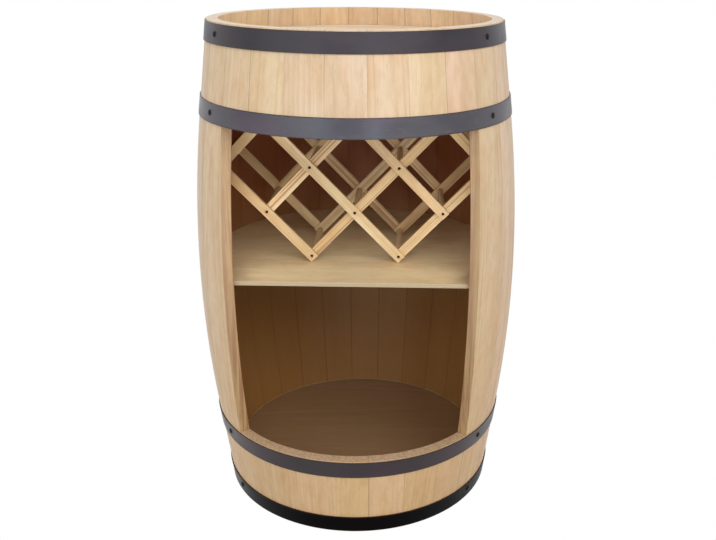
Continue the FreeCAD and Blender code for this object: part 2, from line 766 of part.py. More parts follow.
light_pitch = size("light_pitch").number
level_height = size("strip_top").number - size("strip_width").number / 2
upright_heights = []
height = size("strip_bottom").number + light_pitch / 2
while height < level_height - light_pitch / 2:
    upright_heights.append(height)
    height += light_pitch
level_radius = wall_at(level_height, strip_depth.number)[0]
angle_step = math.degrees(light_pitch / level_radius)
half_count = int((strip_angle.number - angle_step / 2) / angle_step)
light_places = [(side * strip_angle.number, height)
                for side in (-1, 1) for height in upright_heights]
light_places += [(step * angle_step, level_height) for step in range(-half_count, half_count + 1)]
lights = [light(number, *place) for number, place in enumerate(light_places, start=1)]
led_strip = group("led_strip", strip_pieces + lights)


# ---- Battery box: stuck over the doorway, with a cover and a slide switch ----

box_width, box_height, box_depth = (size(f"box_{name}") for name in ("width", "height", "depth"))
box_wall = size("box_wall")
half_width, half_height = box_width / 2, box_height / 2
top_radius = wall_at(size("box_bottom").number + box_height.number, wood.number)[0]
box_radius = (math.sqrt(top_radius ** 2 - half_width.number ** 2)
              + half_height.number * tangent(SLOPE).number - size("box_gap").number)
box_middle = size("box_bottom").number + half_height.number
# In the box's frame +X points down, +Y along its width and +Z into the barrel.
box_frame = radial(BACK, -box_radius, box_middle, -SLOPE.number)


def box_slab(label, x_inset, low_z, thickness):
    """A slab of the box's outline, inset by x_inset all round."""
    return block(label, box_height - x_inset * 2, box_width - x_inset * 2, thickness,
                 box_frame.multiply(move(x_inset.number - half_height.number,
                                         x_inset.number - half_width.number, low_z)))


switch_slot_width = size("switch_width") + size("switch_travel") + size("switch_clearance") * 2
switch_slot_depth = size("switch_depth") + size("switch_clearance") * 2
switch_middle = box_depth.number / 2
switch_slot = block(
    "switch_slot", box_wall * 2, switch_slot_width, switch_slot_depth,
    box_frame.multiply(move(half_height.number - box_wall.number * 1.5,
                            -switch_slot_width.number / 2,
                            switch_middle - switch_slot_depth.number / 2)))
battery_box = cut_away("battery_box", box_slab("battery_box_block", ZERO, 0, box_depth),
                       [box_slab("battery_bay", box_wall, box_wall.number, box_depth),
                        switch_slot])
battery_cover = box_slab("battery_cover", ZERO, box_depth.number, box_wall)

# The knob rests at one end of its slot. Its plate slides behind the wall and keeps it in.
clear = size("switch_clearance")
plate_low_x = half_height - box_wall - clear - size("switch_plate")
plate_width = size("switch_width") + size("switch_travel") * 2
knob_low_y = -switch_slot_width.number / 2 + clear.number
knob_centre_y = knob_low_y + size("switch_width").number / 2
knob = block("switch_knob", size("switch_reach") + box_wall + clear, size("switch_width"),
             size("switch_depth"),
             box_frame.multiply(move(half_height.number - box_wall.number - clear.number,
                                     knob_low_y, switch_middle - size("switch_depth").number / 2)))
plate = block("switch_plate", size("switch_plate"), plate_width, size("switch_depth") * 2,
              box_frame.multiply(move(plate_low_x.number,
                                      knob_centre_y - plate_width.number / 2,
                                      switch_middle - size("switch_depth").number)))
battery_switch = doc.addObject("Part::Fuse", "battery_switch_fuse")
battery_switch.Label = "battery_switch"
battery_switch.Base = knob
battery_switch.Tool = plate


# ---- Check every object and write one file for each node ----

nodes = (full_staves
         + [upper_short_staves, lower_short_staves, top_head, bottom_head]
         + hoops
         + [hoop_nails, hoop_rivets, shelf, shelf_cleats, cleat_screw_group, led_strip,
            battery_box, battery_cover, battery_switch]
         + rack_nodes)

doc.recompute()
for thing in doc.Objects:
    if "Invalid" in thing.State or "Error" in thing.State:
        raise RuntimeError(f"{thing.Label} failed: {thing.State}")
labels = [node.Label for node in nodes]
if len(set(labels)) != len(labels):
    raise RuntimeError("two nodes share a label")
os.makedirs("parts", exist_ok=True)
for node in nodes:
    if node.Shape.isNull() or not node.Shape.isValid():
        raise RuntimeError(f"{node.Label} has no valid shape")
    node.Shape.exportStep(f"parts/{node.Label}.step")
    litres = node.Shape.Volume / 1e6
    print(f"{node.Label:26s} {len(node.Shape.Solids):3d} solids {litres:8.4f} l")
print(len(nodes), "nodes")
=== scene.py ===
import math

import bpy
from mathutils import Matrix, Vector


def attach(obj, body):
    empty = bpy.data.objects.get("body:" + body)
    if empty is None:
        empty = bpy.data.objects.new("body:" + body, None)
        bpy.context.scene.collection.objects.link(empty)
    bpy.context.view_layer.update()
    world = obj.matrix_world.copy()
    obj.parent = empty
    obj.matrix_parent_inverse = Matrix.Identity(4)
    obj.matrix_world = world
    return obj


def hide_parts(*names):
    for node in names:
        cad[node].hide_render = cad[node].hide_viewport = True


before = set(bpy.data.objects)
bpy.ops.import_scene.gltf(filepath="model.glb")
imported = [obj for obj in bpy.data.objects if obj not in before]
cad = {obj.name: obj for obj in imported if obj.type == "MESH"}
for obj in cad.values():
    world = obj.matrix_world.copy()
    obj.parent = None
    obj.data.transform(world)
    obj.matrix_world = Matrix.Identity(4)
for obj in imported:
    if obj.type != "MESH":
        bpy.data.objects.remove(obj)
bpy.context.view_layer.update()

scene = bpy.context.scene
bpy.ops.object.select_all(action="DESELECT")

# ---- Camera ----
# It stands a little to the right of the doorway, above the rim, and looks down on the barrel. The
# frame is a little to the left of where it looks.

eye = Vector((0.0855, -1.4184, 0.9053))
turned_left, tipped_down, rolled = 0.01531, 0.35674, -0.00812
ahead = Vector((-math.sin(turned_left) * math.cos(tipped_down),
                math.cos(turned_left) * math.cos(tipped_down),
                -math.sin(tipped_down)))
level_right = ahead.cross(Vector((0, 0, 1))).normalized()
upright = level_right.cross(ahead)
right = level_right * math.cos(rolled) - upright * math.sin(rolled)
upright = right.cross(ahead)
camera_data = bpy.data.cameras.new("studio_camera")
camera_data.lens = 43.588
camera_data.sensor_width = 36
camera_data.shift_x, camera_data.shift_y = -0.0506, -0.0018
camera = bpy.data.objects.new("studio_camera", camera_data)
facing_barrel = Matrix((right, upright, -ahead)).transposed().to_4x4()
camera.matrix_world = Matrix.Translation(eye) @ facing_barrel
scene.collection.objects.link(camera)
scene.camera = camera


# ---- Full staves: nineteen from rim to foot ----
# Bent boards of pale softwood under clear satin varnish, jointed edge to edge and held by the
# hoops. Their long edges are eased a little by hand, so each joint shows as a fine line.

MIDDLE = 0.4
BEND_RADIUS = 1.9153
BEND_CENTRE = -1.6474
CONE = math.radians(7.5)
CONE_LENGTH = 0.150
END_RADIUS = 0.2318
STAVES = 26
STAVE_STEP = math.tau / STAVES
STAVE_WIDTH = 0.25 * STAVE_STEP
JAMB_STAVE = 4
SILL, LINTEL = 0.145, 0.6575
SEAM = 0.000005
SANDED = 0.0004


def put(tree, kind, inputs=None, **settings):
    """Adds a node, sets it up, and links or fills the inputs that are given."""
    node = tree.nodes.new(kind)
    for name, value in settings.items():
        setattr(node, name, value)
    for name, value in (inputs or {}).items():
        if isinstance(value, bpy.types.NodeSocket):
            tree.links.new(value, node.inputs[name])
        else:
            node.inputs[name].default_value = value
    return node


def maths(tree, operation, *values):
    """A Math node's output."""
    return put(tree, "ShaderNodeMath", dict(enumerate(values)), operation=operation).outputs[0]


def plus(tree, first, second):
    return maths(tree, "ADD", first, second)


def minus(tree, first, second):
    return maths(tree, "SUBTRACT", first, second)


def times(tree, first, second):
    return maths(tree, "MULTIPLY", first, second)


def vectors(tree, operation, *values):
    """A Vector Math node's output."""
    node = put(tree, "ShaderNodeVectorMath", dict(enumerate(values)), operation=operation)
    return node.outputs[1 if operation in ("DOT_PRODUCT", "LENGTH") else 0]


def spread(tree, value, low, high, new_low=0.0, new_high=1.0):
    """Value carried smoothly from one range to another, and held inside it."""
    return put(tree, "ShaderNodeMapRange",
               {"Value": value, "From Min": low, "From Max": high,
                "To Min": new_low, "To Max": new_high}, interpolation_type="SMOOTHSTEP").outputs[0]


def noise(tree, place, scales, detail=2.0, roughness=0.5):
    """A noise about 0.5 at a place, with its own scale along each axis."""
    stretched = vectors(tree, "MULTIPLY", place, scales)
    return put(tree, "ShaderNodeTexNoise",
               {"Vector": stretched, "Scale": 1.0, "Detail": detail,
                "Roughness": roughness}).outputs["Fac"]


def blend(tree, share, first, second, mode="MIX"):
    """Two colours mixed by a share."""
    return put(tree, "ShaderNodeMix", {0: share, 6: first, 7: second},
               data_type="RGBA", blend_type=mode).outputs[2]


def axes(tree, vector):
    """The three numbers of a vector."""
    return put(tree, "ShaderNodeSeparateXYZ", {0: vector}).outputs


def object_place(tree):
    """Where a point lies on its piece, which is its place in the barrel at rest."""
    return put(tree, "ShaderNodeTexCoord").outputs["Object"]


def surface_normal(tree):
    return put(tree, "ShaderNodeTexCoord").outputs["Normal"]


def vector_of(tree, x, y, z):
    return put(tree, "ShaderNodeCombineXYZ", {0: x, 1: y, 2: z}).outputs[0]


def chances(tree, seed):
    """Three random numbers from 0 to 1 that belong to a seed."""
    return put(tree, "ShaderNodeTexWhiteNoise", {"W": seed},
               noise_dimensions="1D").outputs["Color"]


def new_group(name, inputs, outputs):
    """An empty shader group, its entry node's outputs and its exit node's inputs."""
    tree = bpy.data.node_groups.new(name, "ShaderNodeTree")
    for label, kind, default in inputs:
        socket = tree.interface.new_socket(label, in_out="INPUT", socket_type=f"NodeSocket{kind}")
        if default is not None:
            socket.default_value = default
    for label, kind in outputs:
        tree.interface.new_socket(label, in_out="OUTPUT", socket_type=f"NodeSocket{kind}")
    entry = tree.nodes.new("NodeGroupInput")
    return tree, entry.outputs, tree.nodes.new("NodeGroupOutput").inputs


def use_group(tree, group, inputs):
    return put(tree, "ShaderNodeGroup", inputs, node_tree=group).outputs


def new_material(name):
    """A material, its tree and its Principled BSDF."""
    material = bpy.data.materials.new(name)
    material.use_nodes = True
    tree = material.node_tree
    return material, tree, tree.nodes["Principled BSDF"]


def finish(tree, shader, colour, roughness, height, strength, distance):
    """Links a surface's colour, roughness and relief to its shader."""
    tree.links.new(colour, shader.inputs["Base Color"])
    tree.links.new(roughness, shader.inputs["Roughness"])
    bump = put(tree, "ShaderNodeBump",
               {"Height": height, "Strength": strength, "Distance": distance})
    tree.links.new(bump.outputs["Normal"], shader.inputs["Normal"])


# Sawn softwood. Place is (across, along, through) the board in metres, from its middle.
sawn_board, given, made = new_group(
    "sawn_board",
    [("Place", "Vector", None), ("Seed", "Float", 0.0), ("Ring Spacing", "Float", 0.005),
     ("Pale", "Color", None), ("Warm", "Color", None), ("Late Wood", "Color", None),
     ("Contrast", "Float", 0.3), ("Knots", "Float", 0.0)],
    [("Color", "Color"), ("Roughness", "Float"), ("Height", "Float")])
tree = sawn_board
across, along, through = axes(tree, given["Place"])
chance = chances(tree, given["Seed"])
chance_x, chance_y, chance_z = axes(tree, chance)
# The grain runs a little out of line with the board.
slope = times(tree, minus(tree, chance_z, 0.5), 0.11)
across = plus(tree, across, times(tree, along, slope))
elsewhere = vectors(tree, "MULTIPLY", chance, (7.0, 9.0, 8.0))
place = vectors(tree, "ADD", vector_of(tree, across, along, through), elsewhere)
wander = times(tree, minus(tree, noise(tree, place, (9.0, 1.5, 9.0), 3.0), 0.5), 0.034)
lean = times(tree, times(tree, along, 0.05), minus(tree, chance_x, 0.5))
off_centre = plus(tree, plus(tree, across, wander), times(tree, minus(tree, chance_y, 0.5), 0.15))
depth = plus(tree, plus(tree, through, lean), plus(tree, times(tree, chance_z, 0.06), 0.02))
from_pith = maths(tree, "SQRT", plus(tree, maths(tree, "POWER", off_centre, 2.0),
                                     maths(tree, "POWER", depth, 2.0)))
uneven = put(tree, "ShaderNodeTexNoise",
             {"W": from_pith, "Scale": 90.0, "Detail": 1.0}, noise_dimensions="1D").outputs["Fac"]
knot_cells = put(tree, "ShaderNodeTexVoronoi",
                 {"Vector": vectors(tree, "MULTIPLY", place, (1.0, 0.55, 0.4)), "Scale": 20.0})
near_knot = times(tree, spread(tree, knot_cells.outputs["Distance"], 0.0, 0.3, 1.0, 0.0),
                  spread(tree, axes(tree, knot_cells.outputs["Color"])[0], 0.965, 0.975))
near_knot = times(tree, near_knot, given["Knots"])
grown = plus(tree, maths(tree, "DIVIDE", from_pith, given["Ring Spacing"]),
             plus(tree, times(tree, uneven, 1.6), times(tree, near_knot, 1.8)))
turns = maths(tree, "FRACT", grown)
late = times(tree, spread(tree, turns, 0.15, 0.86), spread(tree, turns, 0.88, 1.0, 1.0, 0.0))
faint = spread(tree, noise(tree, place, (26.0, 1.6, 26.0)), 0.36, 0.66, 0.15, 1.0)
late = times(tree, late, faint)
streaks = noise(tree, place, (240.0, 6.0, 240.0), 3.0, 0.6)
figure = noise(tree, place, (90.0, 34.0, 90.0), 3.0, 0.6)
fibre = noise(tree, place, (1500.0, 26.0, 1500.0), 2.0, 0.6)
patches = noise(tree, place, (30.0, 1.8, 30.0), 3.0)
wood = blend(tree, spread(tree, patches, 0.32, 0.68), given["Pale"], given["Warm"])
blush = spread(tree, noise(tree, place, (28.0, 16.0, 28.0), 4.0, 0.6), 0.44, 0.68)
wood = blend(tree, blush, wood, (1.0, 0.94, 0.91, 1), "MULTIPLY")
wood = blend(tree, spread(tree, figure, 0.40, 0.66), wood, (0.93, 0.90, 0.86, 1), "MULTIPLY")
wood = blend(tree, times(tree, late, given["Contrast"]), wood, given["Late Wood"])
streaked = spread(tree, noise(tree, place, (13.0, 2.0, 13.0), 2.0), 0.40, 0.62, 0.25, 1.0)
wood = blend(tree, times(tree, streaked, spread(tree, streaks, 0.48, 0.74, 0.0, 0.36)), wood,
             given["Late Wood"])
wood = blend(tree, spread(tree, fibre, 0.58, 0.80, 0.0, 0.30), wood, given["Late Wood"])
pores = noise(tree, place, (420.0, 70.0, 420.0), 1.0)
wood = blend(tree, spread(tree, pores, 0.66, 0.76, 0.0, 0.22), wood, given["Late Wood"])
knotted = spread(tree, near_knot, 0.78, 0.93, 0.0, 0.75)
wood = blend(tree, knotted, wood, (0.170, 0.080, 0.035, 1))
board_tone = plus(tree, times(tree, chance_x, 0.09), 0.935)
green_tone = times(tree, board_tone, plus(tree, times(tree, chance_y, 0.03), 0.98))
blue_tone = times(tree, board_tone, plus(tree, times(tree, chance_z, 0.09), 0.95))
tint = vector_of(tree, board_tone, green_tone, blue_tone)
wood = blend(tree, 1.0, wood, tint, "MULTIPLY")
tree.links.new(wood, made["Color"])
tree.links.new(spread(tree, plus(tree, late, fibre), 0.3, 1.5, 0.40, 0.58), made["Roughness"])
tree.links.new(plus(tree, times(tree, fibre, -0.6), times(tree, late, -0.3)), made["Height"])


def ease_edges(piece, width, flat_sided=False):
    """Rounds a solid's edges over, as sanding does; the solid's own mesh stays as it is.

    A flat-sided solid has each side made whole first, so that its rounding can't fold it.
    """
    weld = piece.modifiers.new("close_seams", "WELD")
    weld.merge_threshold = SEAM
    if flat_sided:
        whole = piece.modifiers.new("whole_sides", "DECIMATE")
        whole.decimate_type = "DISSOLVE"
        whole.angle_limit = math.radians(0.05)
    bevel = piece.modifiers.new("eased_edges", "BEVEL")
    bevel.width = width
    bevel.segments = 2
    bevel.limit_method = "ANGLE"
    bevel.angle_limit = math.radians(32)
    bevel.use_clamp_overlap = True
    flats = piece.modifiers.new("flat_faces", "WEIGHTED_NORMAL")
    flats.keep_sharp = True


def from_axis(tree, x, y):
    return maths(tree, "SQRT", plus(tree, times(tree, x, x), times(tree, y, y)))


def below_bend(tree, round_out, rise):
    """Depth below the outside of the staves' bend."""
    outward = maths(tree, "POWER", minus(tree, round_out, BEND_CENTRE), 2.0)
    from_centre = maths(tree, "SQRT", plus(tree, outward, maths(tree, "POWER", rise, 2.0)))
    return minus(tree, BEND_RADIUS, from_centre)


stave_wood, tree, shader = new_material("varnished_staves")
x, y, z = axes(tree, object_place(tree))
round_out = from_axis(tree, x, y)
# Depth below the staves' outside: below their bend, or below the cone near an end.
rise = minus(tree, z, MIDDLE)
from_middle = maths(tree, "ABSOLUTE", rise)
widening = times(tree, minus(tree, MIDDLE, from_middle), math.tan(CONE))
cone_radius = plus(tree, widening, END_RADIUS)
below_cone = times(tree, minus(tree, cone_radius, round_out), math.cos(CONE))
near_end = maths(tree, "GREATER_THAN", from_middle, MIDDLE - CONE_LENGTH)
below = put(tree, "ShaderNodeMix",
            {0: near_end, 2: below_bend(tree, round_out, rise), 3: below_cone}).outputs[0]
turn = maths(tree, "DIVIDE", maths(tree, "ARCTAN2", x, times(tree, y, -1.0)), STAVE_STEP)
# The two staves beside the doorway bow into it, so they keep their number past their joint.
from_front = maths(tree, "ABSOLUTE", turn)
beside_doorway = times(tree, spread(tree, z, SILL, SILL + 0.0002),
                       spread(tree, z, LINTEL - 0.0002, LINTEL, 1.0, 0.0))
nearest = maths(tree, "MAXIMUM", maths(tree, "ROUND", from_front),
                times(tree, maths(tree, "GREATER_THAN", beside_doorway, 0.5), JAMB_STAVE))
number = times(tree, nearest, maths(tree, "SIGN", turn))
aside = minus(tree, turn, number)
across = times(tree, aside, STAVE_WIDTH)
# Every board has its own seed, and each kind of board starts from its own round number, so that
# no two have the same grain.
sawn_short = times(tree, maths(tree, "SIGN", rise),
                   times(tree, maths(tree, "LESS_THAN", nearest, JAMB_STAVE - 0.5), 31.0))
seed = plus(tree, maths(tree, "MODULO", plus(tree, number, STAVES), STAVES),
            plus(tree, sawn_short, 40.0))
board = use_group(tree, sawn_board, {
    "Place": vector_of(tree, across, z, below), "Seed": seed, "Ring Spacing": 0.0068,
    "Pale": (0.765, 0.580, 0.395, 1), "Warm": (0.700, 0.505, 0.315, 1),
    "Late Wood": (0.455, 0.285, 0.145, 1), "Contrast": 0.20, "Knots": 1.0})
# The wood is painted darker and yellower towards the foot: painted shade, as the light falls off
# lower down.
wood = blend(tree, spread(tree, z, 0.05, 0.60), (0.980, 0.880, 0.720, 1), (1.0, 1.0, 1.0, 1))
wood = blend(tree, 1.0, board["Color"], wood, "MULTIPLY")
normal = surface_normal(tree)
faces_up = maths(tree, "ABSOLUTE", axes(tree, normal)[2])
end_grain = spread(tree, faces_up, 0.6, 0.85)
end_speckle = noise(tree, vector_of(tree, x, y, z), (240.0, 240.0, 240.0), 3.0, 0.6)
doorway_end = blend(tree, spread(tree, end_speckle, 0.42, 0.62), (0.485, 0.350, 0.240, 1),
                    (0.325, 0.208, 0.145, 1))
sawn_end = blend(tree, spread(tree, from_middle, 0.30, 0.32), doorway_end,
                 (0.610, 0.515, 0.400, 1))
wood = blend(tree, times(tree, end_grain, 0.70), wood, sawn_end)
# The sawn edges of the doorway are yellow brown, with darker streaks.
around = vectors(tree, "NORMALIZE", vector_of(tree, times(tree, y, -1.0), x, 0.0))
sideways = maths(tree, "ABSOLUTE", vectors(tree, "DOT_PRODUCT", normal, around))
jamb = times(tree, beside_doorway, spread(tree, sideways, 0.55, 0.8))
streaked = noise(tree, vector_of(tree, x, y, z), (190.0, 190.0, 4.0), 4.0, 0.65)
sawn_tone = blend(tree, spread(tree, streaked, 0.40, 0.60), (0.500, 0.325, 0.155, 1),
                  (0.300, 0.128, 0.066, 1))
wood = blend(tree, times(tree, jamb, spread(tree, z, 0.15, 0.62, 0.85, 0.42)), wood, sawn_tone)
# Between the heads the inside is painted darker, golden brown below and redder at the top: painted
# shade of the closed cabinet.
bare_or_cavity_shade = times(tree, spread(tree, below, 0.0165, 0.0178),
             spread(tree, from_middle, 0.352, 0.358, 1.0, 0.0))
cavity_shade_tone = blend(tree, spread(tree, z, 0.30, 0.55), (0.290, 0.125, 0.026, 1),
                  (0.270, 0.060, 0.013, 1))
wood = blend(tree, times(tree, bare_or_cavity_shade, 0.88), wood, cavity_shade_tone)
from_joint = times(tree, minus(tree, 0.5, maths(tree, "ABSOLUTE", aside)), STAVE_WIDTH)
bowed = times(tree, beside_doorway, maths(tree, "LESS_THAN", from_front, JAMB_STAVE - 0.2))
joint_edge = spread(tree, below, 0.010, 0.017, 0.0008, 0.0015)
joint = times(tree, spread(tree, from_joint, 0.0001, joint_edge, 1.0, 0.0),
              minus(tree, 1.0, bowed))
# Some joints have taken more dust and varnish than others.
dusty = noise(tree, vector_of(tree, x, y, z), (9.0, 9.0, 4.0), 2.0)
darkness = spread(tree, dusty, 0.40, 0.62, 0.12, 0.60)
darkness = maths(tree, "MAXIMUM", darkness, spread(tree, below, 0.010, 0.017, 0.0, 0.55))
wood = blend(tree, times(tree, joint, darkness), wood, (0.150, 0.075, 0.035, 1))
height = minus(tree, board["Height"], times(tree, joint, 0.8))
finish(tree, shader, wood, board["Roughness"], height, 0.35, 0.0004)
shader.inputs["Specular IOR Level"].default_value = 0.35
shader.inputs["Coat Weight"].default_value = 0.08
shader.inputs["Coat Roughness"].default_value = 0.35

for name, node in cad.items():
    if name.startswith("stave_"):
        node.material_slots[0].material = stave_wood
        ease_edges(node, SANDED)


# ---- Short staves: seven over the doorway and seven below it ----
# The same boards, sawn off level at the lintel and at the sill once the barrel was made up. Each
# board is parted from its neighbours and eased by itself.


def boards_of(node_name, piece_name, board_at, material):
    """The boards of a CAD node, parted and eased one by one, as one new piece."""
    source = cad[node_name]
    inside = 0.0005
    numbers = [board_at(face.center - face.normal * inside) for face in source.data.polygons]
    scene.tool_settings.mesh_select_mode = (False, False, True)
    boards = []
    for number in sorted(set(numbers)):
        board = bpy.data.objects.new(piece_name, source.data.copy())
        scene.collection.objects.link(board)
        bpy.context.view_layer.objects.active = board
        for face, at in zip(board.data.polygons, numbers):
            face.select = at != number
        bpy.ops.object.mode_set(mode="EDIT")
        bpy.ops.mesh.delete(type="FACE")
        bpy.ops.mesh.select_all(action="SELECT")
        bpy.ops.mesh.remove_doubles(threshold=SEAM)
        bpy.ops.mesh.customdata_custom_splitnormals_clear()
        bpy.ops.object.mode_set(mode="OBJECT")
        ease_edges(board, SANDED)
        for modifier in list(board.modifiers):
            bpy.ops.object.modifier_apply(modifier=modifier.name)
        boards.append(board)
    bpy.ops.object.select_all(action="DESELECT")
    for board in boards:
        board.select_set(True)
    bpy.context.view_layer.objects.active = boards[0]
    bpy.ops.object.join()
    piece = boards[0]
    piece.select_set(False)
    piece.data.materials.clear()
    piece.data.materials.append(material)
    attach(piece, "barrel")
    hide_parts(node_name)
    return piece


def stave_at(point):
    return round(math.atan2(point.x, -point.y) / STAVE_STEP)


for part in ("upper", "lower"):
    piece = boards_of(f"{part}_short_staves", f"{part}_sawn_staves", stave_at, stave_wood)


# ---- Heads: the tray of the top and the floor of the cabinet ----
# Five softwood boards each, side by side, with a tongue all round that sits in the croze. The
# upper one is varnished pale; the lower one is painted dark with the cabinet's shade.

HEAD_BOARDS = 5
HEAD_REACH = 0.22272

head_wood, tree, shader = new_material("varnished_heads")
x, y, z = axes(tree, object_place(tree))
board_width = HEAD_REACH * 2 / HEAD_BOARDS
counted = maths(tree, "DIVIDE", y, board_width)
number = maths(tree, "ROUND", counted)
aside = minus(tree, counted, number)
across = times(tree, aside, board_width)
lift = times(tree, spread(tree, z, 0.3, 0.5), 20.0)
seed = plus(tree, plus(tree, number, 90.0), lift)
board = use_group(tree, sawn_board, {
    "Place": vector_of(tree, across, x, z), "Seed": seed, "Ring Spacing": 0.0065,
    "Pale": (0.780, 0.660, 0.500, 1), "Warm": (0.715, 0.570, 0.400, 1),
    "Late Wood": (0.500, 0.350, 0.200, 1), "Contrast": 0.22, "Knots": 1.0})
from_joint = times(tree, minus(tree, 0.5, maths(tree, "ABSOLUTE", aside)), board_width)
joint = spread(tree, from_joint, 0.0001, 0.0009, 1.0, 0.0)
wood = blend(tree, times(tree, joint, 0.4), board["Color"], (0.200, 0.110, 0.055, 1))
# The cabinet's floor is painted dark red-brown like the walls inside: painted shade of the closed
# cabinet.
wood = blend(tree, spread(tree, z, 0.3, 0.5, 0.82, 0.0), wood, (0.210, 0.095, 0.026, 1))
height = minus(tree, board["Height"], times(tree, joint, 0.8))
finish(tree, shader, wood, board["Roughness"], height, 0.35, 0.0004)
shader.inputs["Coat Weight"].default_value = 0.12
shader.inputs["Coat Roughness"].default_value = 0.35


def head_board_at(point):
    return math.floor((point.y + HEAD_REACH) / board_width)


for part in ("top", "bottom"):
    piece = boards_of(f"{part}_head", f"{part}_head_boards", head_board_at, head_wood)


# ---- Hoops: four flat steel bands ----
# Rolled strip, lapped and riveted at the back, painted a satin dark grey. The paint is thin along
# the edges, where the driver struck it.

HOOP_WIDTH = 0.029
HOOP_THICKNESS = 0.0018
HOOP_SETBACKS = {"bottom_hoop": 0.002, "lower_hoop": 0.1143, "upper_hoop": 0.1143,
                 "top_hoop": 0.002}

# Scuffs and thin paint on metal. Place is in metres; Edge is 1 on an edge and 0 away from it.
worn_paint, given, made = new_group(
    "worn_paint",
    [("Place", "Vector", None), ("Edge", "Float", 0.0), ("Paint", "Color", None),
     ("Bare", "Color", None)],
    [("Color", "Color"), ("Roughness", "Float"), ("Height", "Float")])
tree = worn_paint
clouds = noise(tree, given["Place"], (14.0, 14.0, 30.0), 4.0, 0.55)
grit = noise(tree, given["Place"], (900.0, 900.0, 900.0), 2.0, 0.6)
scratches = noise(tree, given["Place"], (60.0, 60.0, 900.0), 2.0, 0.5)
flakes = noise(tree, given["Place"], (120.0, 120.0, 200.0), 4.0, 0.7)
flaked = times(tree, given["Edge"], spread(tree, flakes, 0.42, 0.60))
clouded = spread(tree, clouds, 0.3, 0.7, 0.88, 1.12)
paint = blend(tree, 1.0, given["Paint"],
              vector_of(tree, clouded, clouded, spread(tree, clouds, 0.3, 0.7, 0.92, 1.10)),
              "MULTIPLY")
cast = noise(tree, given["Place"], (9.0, 9.0, 16.0), 2.0)
paint = blend(tree, 1.0, paint,
              vector_of(tree, spread(tree, cast, 0.3, 0.7, 0.92, 1.10),
                        spread(tree, cast, 0.3, 0.7, 1.02, 0.96),
                        spread(tree, cast, 0.3, 0.7, 0.98, 1.06)), "MULTIPLY")
scuffed = spread(tree, scratches, 0.66, 0.76, 0.0, 0.30)
shown = maths(tree, "MAXIMUM", scuffed, times(tree, flaked, 0.55))
tree.links.new(blend(tree, shown, paint, given["Bare"]), made["Color"])
tree.links.new(plus(tree, spread(tree, clouds, 0.3, 0.7, 0.27, 0.38), times(tree, grit, 0.10)),
               made["Roughness"])
tree.links.new(minus(tree, times(tree, grit, 0.5), times(tree, flaked, 0.8)), made["Height"])

paints = {}
# The bottom hoop's near-black paint is painted shade.
for name, paint, bare_or_cavity_shade in (("painted_hoops", (0.064, 0.054, 0.065, 1), (0.190, 0.180, 0.185, 1)),
                          ("blackened_hoop", (0.0022, 0.0014, 0.0016, 1),
                           (0.016, 0.011, 0.012, 1))):
    paints[name], tree, shader = new_material(name)
    place = object_place(tree)
    x, y, z = axes(tree, place)
    from_end = minus(tree, MIDDLE, maths(tree, "ABSOLUTE", minus(tree, z, MIDDLE)))
    edge = 0.0
    for setback in sorted(set(HOOP_SETBACKS.values())):
        middle = setback + HOOP_WIDTH / 2
        aside = maths(tree, "ABSOLUTE", minus(tree, from_end, middle))
        near = times(tree, spread(tree, aside, 0.0127, 0.0141),
                     spread(tree, aside, 0.016, 0.018, 1.0, 0.0))
        edge = maths(tree, "MAXIMUM", edge, near)
    surface = use_group(tree, worn_paint,
                        {"Place": place, "Edge": edge, "Paint": paint, "Bare": bare_or_cavity_shade})
    # The upper hoop is painted lighter and bluer, a painted sheen; the top hoop is painted darker,
    # and the paint grows browner and darker towards the foot: painted shade.
    shade = blend(tree, spread(tree, z, 0.70, 0.76), (1.28, 1.36, 1.32, 1), (0.57, 0.54, 0.56, 1))
    shade = blend(tree, spread(tree, z, 0.20, 0.60), (0.60, 0.50, 0.47, 1), shade)
    darkened = blend(tree, 1.0, surface["Color"], shade, "MULTIPLY")
    # A dark brown line runs along each edge: a painted shadow where the hoop meets the staves.
    colour = blend(tree, times(tree, edge, 0.85), darkened, (0.036, 0.016, 0.013, 1))
    finish(tree, shader, colour, surface["Roughness"], surface["Height"], 0.25, 0.0002)
    shader.inputs["Metallic"].default_value = 0.25
    shader.inputs["Specular IOR Level"].default_value = 0.35 if name == "painted_hoops" else 0.03
for name in HOOP_SETBACKS:
    paint = paints["blackened_hoop" if name == "bottom_hoop" else "painted_hoops"]
    cad[name].material_slots[0].material = paint
    ease_edges(cad[name], SANDED)


# ---- Hoop nails and lap rivets ----
# Black domed nails hold each hoop to the staves at the front corners and at the back. Two steel
# rivets, painted with the hoop, close each lap.

NAIL_ANGLES = (57, -57, 180)
RIVET_ANGLES = (191.6, 196.4)


def turned(name, profile, steps):
    """A round piece spun about +Z from a profile of (radius, height)."""
    bpy.ops.object.select_all(action="DESELECT")
    bpy.ops.mesh.primitive_plane_add(size=0.001)
    piece = bpy.context.object
    piece.name = name
    scene.tool_settings.mesh_select_mode = (True, False, False)
    bpy.ops.object.mode_set(mode="EDIT")
    bpy.ops.mesh.select_all(action="SELECT")
    bpy.ops.mesh.merge(type="CENTER")
    (radius, level), *rest = profile
    bpy.ops.transform.translate(value=(radius, 0, level))
    for next_radius, next_level in rest:
        step = (next_radius - radius, 0, next_level - level)
        bpy.ops.mesh.extrude_vertices_move(TRANSFORM_OT_translate={"value": step})
        radius, level = next_radius, next_level
    bpy.ops.mesh.select_all(action="SELECT")
    bpy.ops.mesh.spin(steps=steps, angle=math.tau, center=(0, 0, 0), axis=(0, 0, 1))
    bpy.ops.mesh.select_all(action="SELECT")
    bpy.ops.mesh.remove_doubles(threshold=0.000001)
    bpy.ops.mesh.normals_make_consistent(inside=False)
    bpy.ops.object.mode_set(mode="OBJECT")
    bpy.ops.object.shade_smooth_by_angle(angle=math.radians(35))
    return piece


